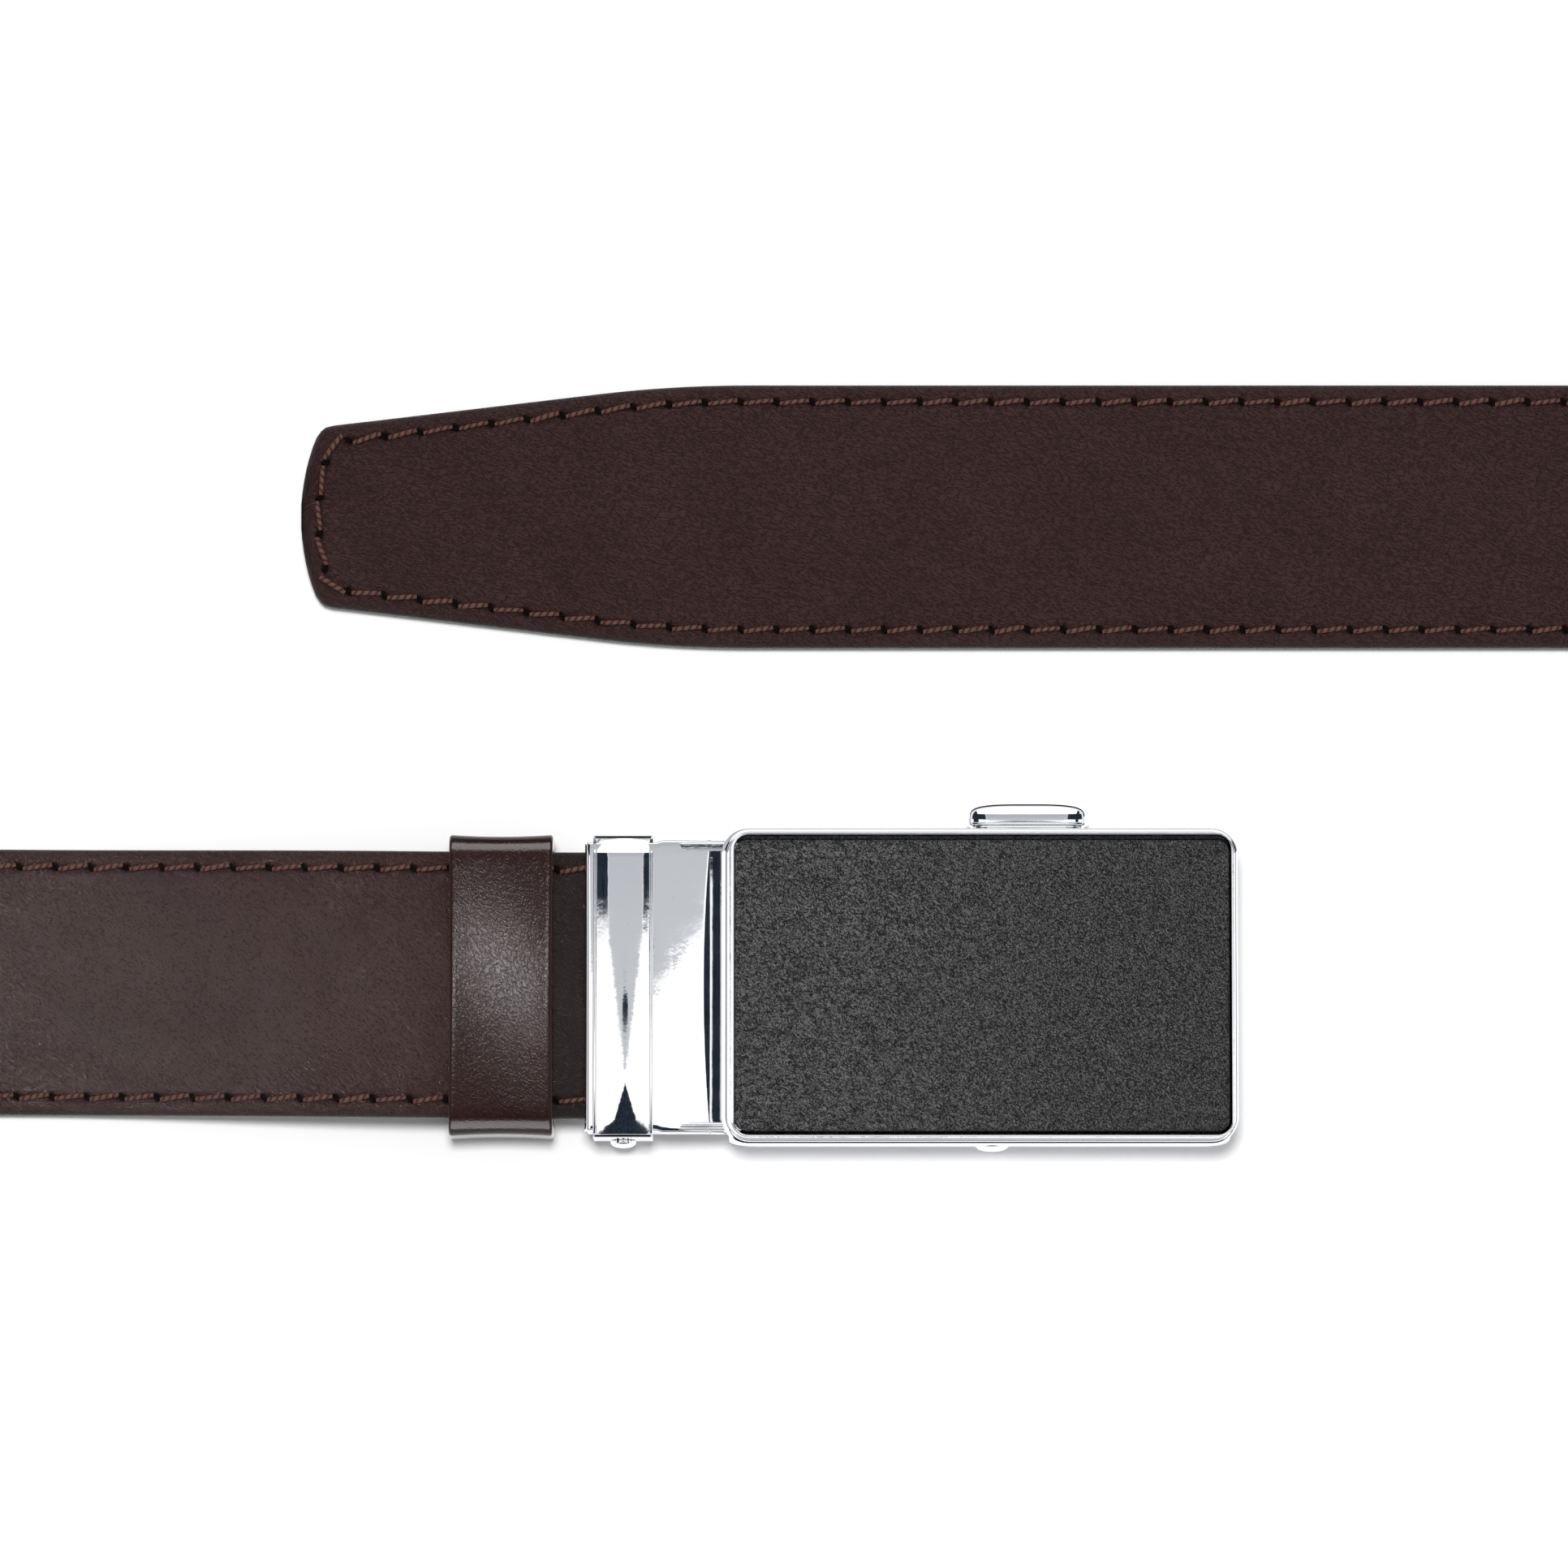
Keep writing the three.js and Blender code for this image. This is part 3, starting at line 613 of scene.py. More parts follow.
# where the stitches and the holes between them lie, and how far any place is from them
class StitchLine:
    def __init__(self, route, spec):
        self.route, self.spec = route, spec
        self.path, self.travel = edgeLine(route, spec["inset"], spec["endMargin"])
        self.outline, _ = edgeLine(route, 0.0)
        self.count = int(round(self.travel[-1] / spec["pitch"]))
        self.pitch = self.travel[-1] / self.count

    def along(self, steps):
        at = np.asarray(steps) * self.pitch
        return np.stack([np.interp(at, self.travel, self.path[:, 0]),
                         np.interp(at, self.travel, self.path[:, 1])], axis=-1)

    # for places on the strap: mm in from the outline, mm in from the stitching, stitches along
    def measure(self, s, a):
        length, middle = self.route.spec["length"], len(self.path) // 2
        s, a = np.broadcast_arrays(s, a)
        edge = self.route.halfWidth(length - s) - np.abs(a)
        off = edge - self.spec["inset"]
        up = np.interp(s, self.path[:middle, 0], self.travel[:middle])
        down = np.interp(s, self.path[middle:, 0][::-1], self.travel[middle:][::-1])
        run = np.where(a > 0, up, down) / self.pitch
        tip = s > length - self.spec["tipZone"]
        if tip.any():
            spots = np.stack([s[tip], a[tip]], axis=-1)
            line = self.path[:, 0] > length - self.spec["tipReach"]
            rim = self.outline[:, 0] > length - self.spec["tipReach"]
            edge[tip], _ = nearest(spots, self.outline[rim])
            gap, best = nearest(spots, self.path[line])
            off[tip] = gap * np.sign(edge[tip] - self.spec["inset"])
            run[tip] = self.travel[line][best] / self.pitch
        return edge, off, run


# height of the grain face over the flat section
def faceHeight(spec, half, edge, off):
    small = np.minimum(1, half / 8)
    margin = spec["marginDrop"] * (1 - smoothStep(edge, 0, spec["margin"] * 1.1))
    groove = spec["groove"] * np.exp(-(off / spec["grooveWidth"]) ** 2)
    crown = spec["crown"] * smoothStep(edge, spec["margin"], 17)
    return (crown - margin - groove) * small


def makeStrap(route, spec, line):
    thick = spec["thickness"] / 2
    tipStops = spec["tipEndRadius"] * (1 - np.cos(np.radians([24, 21, 18, 15, 12, 9, 6, 3])))
    s = np.linspace(0, spec["length"] - 3.2, int(round(spec["length"] / spec["ringStep"])))
    s = np.concatenate([s, spec["length"] - tipStops])
    half = route.halfWidth(spec["length"] - s)
    middle, across, normal = route.frames(s)
    radius = np.minimum(spec["edgeRadius"], half / 3)
    flat = half - radius

    # across the face: close together near the edge and the stitching
    offsets = np.array([0.0, 0.25, 0.6, 0.95, 1.3, 1.65, 2.0, 2.35, 2.8, 3.5, 5.0, 7.5, 10.5, 13.6])
    shares = offsets / (spec["width"] / 2 - spec["edgeRadius"])
    shares = np.concatenate([shares, [1.0], 2 - shares[::-1]]) - 1
    arc = np.radians([20, 38, 56, 74, 90])
    upper = [-(flat + radius * np.sin(a)) for a in arc[::-1]] + [share * flat for share in shares]
    upper = np.stack(upper + [flat + radius * np.sin(a) for a in arc], axis=1)
    edge, off, run = line.measure(s[:, None], upper)
    bend = radius[:, None] - np.minimum(np.maximum(edge, 0), radius[:, None])
    drop = radius[:, None] - np.sqrt(np.maximum(radius[:, None] ** 2 - bend ** 2, 0))
    height = thick + faceHeight(spec, half[:, None], edge, off) - drop
    near = np.abs(run - np.round(run)) * line.pitch
    height -= spec["pucker"] * np.exp(-(near ** 2 + off ** 2) / spec["puckerRadius"] ** 2)
    height += spec["pillow"] * np.exp(-(near ** 2 / 1.7 + (np.abs(off) - 1.1) ** 2) / 0.7)

    edgeColumns = len(arc)
    kinds = ["edge"] * 2 + ["face"] * (edgeColumns * 2 + len(shares) - 4) + ["edge"] * 2
    a, n = [upper], [height]

    def put(places, levels, kind):
        a.append(np.asarray(places)[:, None])
        n.append((np.asarray(levels) + np.zeros_like(half))[:, None])
        kinds.append(kind)

    for side, end in ((1, -1), (-1, 0)):
        top = height[:, end]
        levels = [top * (1 - share) + (0.5 - thick) * share for share in (0.5, 1.0)]
        spots = [(side * half, level) for level in levels] + [(side * (half - 0.3), 0.1 - thick)]
        for spot, level in (spots if side > 0 else spots[::-1]):
            put(spot, level, "edge")
        if side > 0:
            for share in (1.0, 0.8, 0.6, 0.4, 0.2, 0.0, -0.2, -0.4, -0.6, -0.8, -1.0):
                put(share * (half - 0.7), -thick, "back")
    a, n = np.concatenate(a, axis=1), np.concatenate(n, axis=1)

    # the pocket that the track sits in
    inTrack = (s < spec["length"] - spec["trackStart"] + 0.3)
    inTrack &= (s > spec["length"] - spec["trackStart"] - spec["trackLength"] - 0.3)
    backAt = [i for i, kind in enumerate(kinds) if kind == "back"]
    for i in backAt[3:8]:
        n[inTrack, i] += spec["trackDepth"]
    a[inTrack, backAt[3]] = spec["trackHalf"]
    a[inTrack, backAt[7]] = -spec["trackHalf"]

    points = middle[:, None] + across[:, None] * a[..., None] + normal[:, None] * n[..., None]
    rowCount, size = points.shape[:2]
    slotOf = {"face": 0, "edge": 1, "back": 2}
    faces, slots = [], []
    for j in range(size):
        k = (j + 1) % size
        pair = {kinds[j], kinds[k]}
        kind = "back" if "back" in pair else "face" if "face" in pair else "edge"
        faces += [(i * size + j, (i + 1) * size + j, (i + 1) * size + k, i * size + k)
                  for i in range(rowCount - 1)]
        slots += [slotOf[kind]] * (rowCount - 1)
    faces += [tuple(range(size)), tuple(reversed(range((rowCount - 1) * size, rowCount * size)))]
    slots += [1, 1]
    mesh = bpy.data.meshes.new("strap_leather")
    mesh.from_pydata((points.reshape(-1, 3) * mm + np.array(home)).tolist(), [], faces)
    mesh.polygons.foreach_set("material_index", slots)
    mesh.polygons.foreach_set("use_smooth", [True] * len(faces))
    blank = np.zeros((rowCount, size - upper.shape[1]))
    depth = np.clip((thick - n) / (2 * thick), 0, 1)
    for name, values in (("edge", np.concatenate([edge, blank], axis=1)), ("depth", depth),
                         ("off", np.concatenate([off, blank + 9], axis=1)),
                         ("run", np.concatenate([run, blank], axis=1))):
        layer = mesh.attributes.new(name, "FLOAT", "POINT")
        layer.data.foreach_set("value", values.reshape(-1).astype(np.float32))
    girth = np.linalg.norm(np.diff(points, axis=1), axis=-1).mean(axis=0)
    v = np.concatenate([[0], np.cumsum(girth)])
    corner = np.empty(len(mesh.loops), dtype=np.int32)
    mesh.loops.foreach_get("vertex_index", corner)
    uv = np.stack([s[corner // size], v[corner % size]], axis=-1) * mm
    mesh.uv_layers.new(name="UVMap").data.foreach_set("uv", uv.reshape(-1))
    for key in ("strap", "edge", "back"):
        mesh.materials.append(finishes[key])
    mesh.update()
    return newObject("strap_leather", mesh)


# recalculates a closed mesh's normals to point out
def outward(obj):
    bm = bmesh.new()
    bm.from_mesh(obj.data)
    bmesh.ops.recalc_face_normals(bm, faces=bm.faces)
    bm.to_mesh(obj.data)
    bm.free()


stitching = StitchLine(strapRoute, stitchSpec)
holePoints = stitching.along(np.arange(stitching.count + 1))
threadPoints = stitching.along(np.arange(stitching.count) + 0.5)
strap = makeStrap(strapRoute, strapSpec, stitching)
outward(strap)
print("strap made")


# instances a small mesh along a line, tangent to it, upright on its "up" attribute and slanted a little
def stitchTree():
    tree = bpy.data.node_groups.new("stitching", "GeometryNodeTree")
    face = tree.interface
    face.new_socket("Geometry", in_out="INPUT", socket_type="NodeSocketGeometry")
    for label, kind, value in (("Stitch", "NodeSocketObject", None), ("Finish", "NodeSocketMaterial", None),
                               ("Slant", floatIn, 0.0), ("Slant Spread", floatIn, 0.0),
                               ("Size Spread", floatIn, 0.0), ("Seed", "NodeSocketInt", 0)):
        socket = face.new_socket(label, in_out="INPUT", socket_type=kind)
        if value is not None:
            socket.default_value = value
    face.new_socket("Geometry", in_out="OUTPUT", socket_type="NodeSocketGeometry")
    inp = tree.nodes.new("NodeGroupInput").outputs
    out = tree.nodes.new("NodeGroupOutput")
    along, up = [node(tree, "GeometryNodeInputNamedAttribute", {"Name": name},
                      data_type="FLOAT_VECTOR").outputs[0] for name in ("along", "up")]
    first = node(tree, "FunctionNodeAlignRotationToVector", {"Vector": along}, axis="X")
    second = node(tree, "FunctionNodeAlignRotationToVector",
                  {"Rotation": first.outputs[0], "Vector": up}, axis="Z", pivot_axis="X")
    spread = node(tree, "FunctionNodeRandomValue", {"Seed": inp["Seed"]}, data_type="FLOAT")
    floats = [s for s in spread.inputs if s.type == "VALUE" and s.name in ("Min", "Max")]
    floats[0].default_value, floats[1].default_value = -1.0, 1.0
    wild = [s for s in spread.outputs if s.type == "VALUE"][0]
    angle = add(tree, inp["Slant"], times(tree, wild, inp["Slant Spread"]))
    turn = node(tree, "FunctionNodeAxisAngleToRotation", {"Axis": (0, 0, 1), "Angle": angle})
    turned = node(tree, "FunctionNodeRotateRotation", {0: second.outputs[0], 1: turn.outputs[0]},
                  rotation_space="LOCAL")
    size = add(tree, 1.0, times(tree, wild, inp["Size Spread"]))
    scale = node(tree, "ShaderNodeCombineXYZ", {0: 1.0, 1: size, 2: 1.0}).outputs[0]
    made = node(tree, "GeometryNodeObjectInfo", {"Object": inp["Stitch"]})
    points = node(tree, "GeometryNodeInstanceOnPoints", {
        "Points": inp["Geometry"], "Instance": made.outputs["Geometry"], "Rotation": turned.outputs[0],
        "Scale": scale})
    solid = node(tree, "GeometryNodeRealizeInstances", {0: points.outputs[0]})
    coloured = node(tree, "GeometryNodeSetMaterial", {"Geometry": solid.outputs[0],
                                                      "Material": inp["Finish"]})
    link(tree, coloured.outputs[0], out.inputs[0])
    return tree


stitchingTree = stitchTree()


# one stitch: a short tube that bows up and goes down into the leather at both ends
def stitchMesh(spec):
    sides, steps = 6, 8
    bm = bmesh.new()
    uvs = {}
    rows = []
    for i in range(steps + 1):
        t = -1 + 2 * i / steps
        x = spec["span"] / 2 * math.sin(t * math.pi / 2) * (1 - 0.04 * t * t)
        z = spec["rise"] - (spec["rise"] + spec["bury"]) * abs(t) ** 3.2
        radius = spec["radius"] * (1 - 0.25 * abs(t) ** 4)
        row = []
        for j in range(sides):
            a = 2 * math.pi * j / sides
            vert = bm.verts.new((x * mm, radius * math.cos(a) * mm, (z + radius * math.sin(a) * 0.85) * mm))
            uvs[vert] = (x, j / sides)
            row.append(vert)
        rows.append(row)
    layer = bm.loops.layers.uv.new("UVMap")
    for low, high in zip(rows, rows[1:]):
        for j in range(sides):
            k = (j + 1) % sides
            face = bm.faces.new((low[j], high[j], high[k], low[k]))
            for loop in face.loops:
                x, v = uvs[loop.vert]
                loop[layer].uv = (x * mm, (v + (1 if k == 0 and loop.vert in (low[k], high[k]) else 0)) * mm)
    bm.faces.new(rows[0])
    bm.faces.new(list(reversed(rows[-1])))
    return scratchMesh(bm, "one_stitch")


# one hole: a slit with short creases spread round it, as a thin lens at the surface; the lens is a dark sheet
# of painted shade standing in for the hole and its creases
def holeMesh(spec):
    bm = bmesh.new()
    rim = []
    for i, leg in enumerate(spec["legs"]):
        for share, reach in ((-0.38, 0.0), (0.0, leg), (0.38, 0.0)):
            a = 2 * math.pi * (i + share) / len(spec["legs"])
            c, s = math.cos(a), math.sin(a)
            r = 1 / math.hypot(c / spec["slit"], s / spec["gape"]) + reach
            rim.append(bm.verts.new((r * c * mm, r * s * mm, 0)))
    top = bm.verts.new((0, 0, 0.05 * mm))
    low = bm.verts.new((0, 0, -0.25 * mm))
    for i in range(len(rim)):
        j = (i + 1) % len(rim)
        bm.faces.new((rim[i], rim[j], top))
        bm.faces.new((rim[j], rim[i], low))
    return scratchMesh(bm, "one_hole")


def scratchMesh(bm, name):
    bmesh.ops.recalc_face_normals(bm, faces=bm.faces)
    for face in bm.faces:
        face.smooth = True
    mesh = bpy.data.meshes.new(name)
    bm.to_mesh(mesh)
    bm.free()
    return newObject(name, mesh)


# sets the unit mesh on the strap's face (side 1) or back (side -1) and bakes the result
def stitchPiece(name, points, side, lift, unit, finish, spec, seedStep=0):
    s = np.clip(points[:, 0], 0, strapSpec["length"])
    middle, across, normal = strapRoute.frames(s)
    level = strapSpec["thickness"] / 2 + lift
    if side > 0:
        edge, off, _ = stitching.measure(s, points[:, 1])
        level = level + faceHeight(strapSpec, strapRoute.halfWidth(strapSpec["length"] - s), edge, off)
    spots = middle + across * points[:, 1:2] + normal * (side * level * np.ones_like(s))[:, None]
    step = np.gradient(spots, axis=0)
    step /= np.linalg.norm(step, axis=-1, keepdims=True)
    mesh = bpy.data.meshes.new(name)
    mesh.from_pydata((spots * mm + np.array(home)).tolist(), [], [])
    for label, values in (("along", step), ("up", normal * side)):
        layer = mesh.attributes.new(label, "FLOAT_VECTOR", "POINT")
        layer.data.foreach_set("vector", values.reshape(-1).astype(np.float32))
    obj = newObject(name, mesh)
    modifier = obj.modifiers.new("stitching", "NODES")
    modifier.node_group = stitchingTree
    wanted = {"Stitch": unit, "Finish": finishes[finish], "Slant": side * math.radians(spec["slant"]),
              "Slant Spread": math.radians(spec["slantSpread"]), "Size Spread": spec["sizeSpread"],
              "Seed": stitchSpec["seed"] + seedStep}
    for item in stitchingTree.interface.items_tree:
        if item.item_type == "SOCKET" and item.in_out == "INPUT" and item.name in wanted:
            modifier[item.identifier] = wanted[item.name]
    graph = bpy.context.evaluated_depsgraph_get()
    baked = bpy.data.meshes.new_from_object(obj.evaluated_get(graph))
    obj.modifiers.clear()
    obj.data = baked
    return obj


stitchUnit = stitchMesh(stitchSpec)
holeSpec = {"slit": 0.6, "gape": 0.26, "legs": [0.3, 0.45, 0.22, 0.4, 0.26, 0.38, 0.5, 0.24, 0.42],
            "lift": 0.09, "slant": -52, "slantSpread": 10, "sizeSpread": 0.25}    # mm and degrees
holeUnit = holeMesh(holeSpec)
threadFace = stitchPiece("stitches_face", threadPoints, 1, stitchSpec["liftFace"], stitchUnit, "thread",
                         stitchSpec)
threadBack = stitchPiece("stitches_back", threadPoints, -1, stitchSpec["liftBack"], stitchUnit, "thread",
                         stitchSpec, 1)
holesFace = stitchPiece("stitch_holes", holePoints, 1, holeSpec["lift"], holeUnit, "hole", holeSpec, 2)
for unit in (stitchUnit, holeUnit):
    bpy.data.objects.remove(unit)
print("stitches made")


# keeper loop: a band of leather folded round, a little fuller in the middle of its front
keeperSpec = {"corner": 2.4, "wall": 1.6, "full": 0.8, "drop": 0.5, "flare": 0.022, "crown": -0.22,
              "shiftY": 0.26, "edgeRound": 0.4, "steps": 26}


# round the band: place along X, height over its outer face, and how much it is cut edge
def keeperSection(halfX, spec):
    wall, edge, n = spec["wall"], spec["edgeRound"], spec["steps"]
    section = []
    for i in range(n + 1):
        t = -1 + 2 * i / n
        section.append((t * (halfX - edge), -spec["crown"] * t * t, 0.0))
    low = -spec["crown"]
    arc = [math.radians(a) for a in (22, 45, 68, 90)]
    for a in arc:
        section.append((halfX - edge + edge * math.sin(a), low - edge * (1 - math.cos(a)), 0.2 + a / 2))
    section += [(halfX, -wall + edge, 1.0), (halfX - edge, -wall, 0.6), (-halfX + edge, -wall, 0.6),
                (-halfX, -wall + edge, 1.0)]
    for a in reversed(arc):
        section.append((-halfX + edge - edge * math.sin(a), low - edge * (1 - math.cos(a)), 0.2 + a / 2))
    return section


def makeKeeper(spec):
    low, high = local(keeperLow), local(keeperHigh)
    middle, half = (low + high) / 2, (high - low) / 2
    section = keeperSection(half.x, spec)
    bm = bmesh.new()
    layer = bm.loops.layers.uv.new("UVMap")
    cutLayer = bm.verts.layers.float.new("cut")
    outline = list(zip(*loopWithNormals(half.y, half.z, spec["corner"], 10, 22)))
    rows, stops = [], [0.0]
    for i, ((y, z), (ny, nz)) in enumerate(outline):
        if i:
            stops.append(stops[-1] + math.dist((y, z), outline[i - 1][0]))
        t = y / half.y
        y += spec["shiftY"]
        rise = (spec["full"] * (1 - t * t) - spec["drop"]) if z > 0 else 0
        wide = 1 + spec["flare"] * (t * t - 1)
        row = []
        for x, out, cut in section:
            spot = (middle.x + x * wide, y + ny * out, middle.z + z + rise + nz * out)
            vert = bm.verts.new(place([spot])[0])
            vert[cutLayer] = min(cut, 1.0)
            row.append(vert)
        rows.append(row)
    stops.append(stops[-1] + math.dist(outline[0][0], outline[-1][0]))
    girth = [0.0]
    for a, b in zip(section, section[1:] + section[:1]):
        girth.append(girth[-1] + math.dist(a[:2], b[:2]))
    for i, row in enumerate(rows):
        following = rows[(i + 1) % len(rows)]
        for j in range(len(row)):
            k = (j + 1) % len(row)
            face = bm.faces.new((row[j], following[j], following[k], row[k]))
            spots = ((stops[i], girth[j]), (stops[i + 1], girth[j]), (stops[i + 1], girth[j + 1]),
                     (stops[i], girth[j + 1]))
            for loop, (u, v) in zip(face.loops, spots):
                loop[layer].uv = (u * mm, v * mm)
    return finishMesh(bm, "keeper_leather", "keeper", sharp=60)


# points and outward normals round a rounded rectangle centred on zero
def loopWithNormals(halfX, halfY, radius, arcSteps, runSteps):
    points, normals = [], []
    corners = ((1, 1, 0), (-1, 1, 90), (-1, -1, 180), (1, -1, 270))
    for i, (sx, sy, start) in enumerate(corners):
        for step in range(arcSteps + 1):
            a = math.radians(start + 90 * step / arcSteps)
            normals.append((math.cos(a), math.sin(a)))
            points.append((sx * (halfX - radius) + radius * math.cos(a),
                           sy * (halfY - radius) + radius * math.sin(a)))
        nx, ny, nextStart = corners[(i + 1) % 4]
        a = math.radians(nextStart)
        goal = (nx * (halfX - radius) + radius * math.cos(a), ny * (halfY - radius) + radius * math.sin(a))
        begin = points[-1]
        for step in range(1, runSteps):
            t = step / runSteps
            points.append((begin[0] + (goal[0] - begin[0]) * t, begin[1] + (goal[1] - begin[1]) * t))
            normals.append((math.cos(a), math.sin(a)))
    return points, normals


keeper = makeKeeper(keeperSpec)
print("keeper made")


# buckle: face frame with its rim, skirts, neck
buckleSpec = {
    "faceCorner": 3.5, "pocketCorner": 1.9, "rimLeft": 1.7, "rimRight": 0.9, "rimLow": 1.17, "rimHigh": 0.9,
    "trayUnder": 9.4, "trayTop": 10.4, "ledgeDrop": 0.42, "beadLeft": 0.46, "beadRight": 0.16,
    "beadLow": 0.24, "beadHigh": 0.24, "beadCrown": 0.03,
    "skirtOut": 20.2, "skirtWall": 1.7, "skirtEnd": 33.0, "skirtCorner": 2.5, "skirtPillow": 0.5,
    "neckStart": -52.0, "neckHalf": 19.1, "neckWall": 1.2, "neckUnder": 9.72, "neckTop": 10.75,
    "neckFoot": 3.25, "neckJoin": -31.0, "dipStart": -35.65, "dipBow": 0.85, "dipSlope": 0.3,
    "crownY": 0.32, "crownX": 0.343, "crownMiddle": -46.5, "crownReach": 7.75, "neckRoll": 0.04,
    "rollWidth": 2.2, "neckFlare": 0.015, "flareAt": -42.7, "neckEdge": 0.35, "lipRound": 0.75,
    "strapEnd": -35.4, "leverX": 1.75, "leverZ": 2.8,
}


# loops from the tray's underside, up and over the rim, and down to the pocket's floor
def faceLoops(spec):
    halfX, halfY = faceLength / 2, (bodyHigh.y - bodyLow.y) / 2 / mm
    top = local(bodyHigh).z
    corner = spec["faceCorner"]

    def loop(left, right, front, back, inset, radius, z):
        points = roundedRect(-halfX + left + inset, halfX - right - inset, -halfY + front + inset,
                             halfY - back - inset, radius - inset)
        return [(x, y, z) for x, y in points]

    def outer(inset, z):
        return loop(0, 0, 0, 0, inset, corner, z)

    def bead(inset, z):
        return loop(*[spec["bead" + side] for side in ("Left", "Right", "Low", "High")], inset, corner - 0.3, z)

    def inner(out, z):
        return loop(*[spec["rim" + side] for side in ("Left", "Right", "Low", "High")], -out,
                    spec["pocketCorner"], z)

    under, ledge = spec["trayUnder"], top - spec["ledgeDrop"]
    loops = [outer(0.5, under), outer(0.12, under), outer(0.03, under + 0.06), outer(0, under + 0.2),
             outer(0, ledge - 0.08), outer(0.01, ledge - 0.03), outer(0.035, ledge - 0.008), outer(0.07, ledge),
             bead(0, ledge), bead(0.2, ledge + 0.1), bead(0.22, ledge + 0.3), bead(0.26, top - 0.05),
             bead(0.33, top - 0.01), bead(0.4, top)]
    # the bead is a little crowned along the end that meets the neck
    for share in (0.2, 0.4, 0.6, 0.8):
        crowned = []
        for a, b in zip(bead(0.4, top), inner(0.2, top)):
            x, y = a[0] + (b[0] - a[0]) * share, a[1] + (b[1] - a[1]) * share
            leftness = min(1.0, max(0.0, (2.4 - halfX - x) / 0.6))
            crowned.append((x, y, top + spec["beadCrown"] * 4 * share * (1 - share) * leftness))
        loops.append(crowned)
    loops += [inner(0.2, top), inner(0.12, top - 0.015), inner(0.05, top - 0.07), inner(0.015, top - 0.16),
              inner(0, top - 0.35), inner(0, spec["trayTop"] + 0.1), inner(-0.1, spec["trayTop"])]
    return loops


# block with rounded upright corners and softened top and bottom edges
def addBox(bm, x0, x1, y0, y1, z0, z1, round_=0.25, corner=0.3):
    loops = []
    for inset, z in ((round_ + 0.1, z0), (round_, z0), (round_ * 0.3, z0 + round_ * 0.3), (0, z0 + round_),
                     (0, z0 + round_ + 0.05), (0, z1 - round_ - 0.05), (0, z1 - round_),
                     (round_ * 0.3, z1 - round_ * 0.3), (round_, z1), (round_ + 0.1, z1)):
        points = roundedRect(x0 + inset, x1 - inset, y0 + inset, y1 - inset, corner, steps=4)
        loops.append([(x, y, z) for x, y in points])
    addLoft(bm, loops)


# side wall with round lower corners and a pillowed outer face
def addSkirt(bm, spec, side):
    inside, wall, pillow = spec["skirtOut"] - spec["skirtWall"], spec["skirtWall"], spec["skirtPillow"]
    profile = [(0.3, 0), (0.2, 0), (0.06, 0.06), (0, 0.2), (0, wall - 0.3)]
    for i in range(1, 13):
        a = math.pi / 2 * i / 12
        profile.append((3.6 * (1 - math.cos(a)), wall - 0.3 + (pillow + 0.3) * math.sin(a)))
    loops = []
    for inset, out in profile:
        points = roundedRect(-spec["skirtEnd"] + inset, spec["skirtEnd"] - inset, inset,
                             spec["trayUnder"] + 0.5 - inset * 0.6, spec["skirtCorner"] - inset * 0.5, steps=6)
        loops.append([(x, side * (inside + out), z) for x, z in points])
    addLoft(bm, loops)


# plate over the strap's end: crowned, rolled over at its free end, dipping where it meets the face
def addNeck(bm, spec):
    x0, x1, half, edge = spec["neckStart"], -faceLength / 2 + 1.0, spec["neckHalf"], spec["neckEdge"]
    xs = list(x0 + spec["lipRound"] * (1 - np.cos(np.radians([0, 15, 30, 45, 60, 75, 90]))))
    xs += list(np.linspace(xs[-1] + 0.1, spec["dipStart"] - spec["dipBow"] - 0.1, 18))
    xs += list(np.linspace(xs[-1], x1, 34)[1:])
    ys = list(-half + edge * (1 - np.cos(np.radians([0, 22, 45, 67, 90]))))
    ys += list(np.linspace(ys[-1], half - edge, 66)[1:-1])
    ys += list(half - edge * (1 - np.cos(np.radians([90, 67, 45, 22, 0]))))

    def top(x, y):
        t = y / half
        z = spec["neckTop"] + spec["crownY"] * (0.5 - t * t)
        z += spec["crownX"] * (0.4 - ((x - spec["crownMiddle"]) / spec["crownReach"]) ** 2)
        z -= spec["neckRoll"] * max(0.0, 1 - (half - abs(y)) / spec["rollWidth"]) ** 2
        past = x - spec["dipStart"] + spec["dipBow"] * (1 - t * t)
        z -= spec["dipSlope"] * max(0.0, past - 0.08) if past > 0.16 else 2.0 * max(0.0, past) ** 2 * 0.45
        lip = max(0.0, 1 - (x - x0) / spec["lipRound"])
        z -= spec["lipRound"] * (1 - math.sqrt(max(0.0, 1 - lip * lip)))
        fall = max(0.0, 1 - (half - abs(y)) / edge)
        return z - edge * (1 - math.sqrt(max(0.0, 1 - fall * fall)))

    def under(x):
        return spec["neckUnder"] - (0.8 if x > spec["strapEnd"] else 0)

    wide = 1 + spec["neckFlare"] * smoothStep(np.array(xs), spec["flareAt"], spec["flareAt"] + 0.5)
    upper = [[bm.verts.new(place([(x, y * w, max(top(x, y), under(x) + 0.05))])[0]) for y in ys]
             for x, w in zip(xs, wide)]
    lower = [[bm.verts.new(place([(x, y * w, under(x))])[0]) for y in ys] for x, w in zip(xs, wide)]
    addSlab(bm, upper, lower)


def makeBuckle(spec):
    bm = bmesh.new()
    addLoft(bm, faceLoops(spec))
    for side in (1, -1):
        addSkirt(bm, spec, side)
        inner = spec["neckHalf"] - spec["neckWall"]
        y0, y1 = sorted((side * inner, side * spec["neckHalf"]))
        addBox(bm, spec["neckStart"] + 0.3, spec["neckJoin"], y0, y1, spec["neckFoot"], spec["neckTop"] - 0.3)
    addNeck(bm, spec)
    return finishMesh(bm, "buckle_chrome", "chrome")


buckle = makeBuckle(buckleSpec)


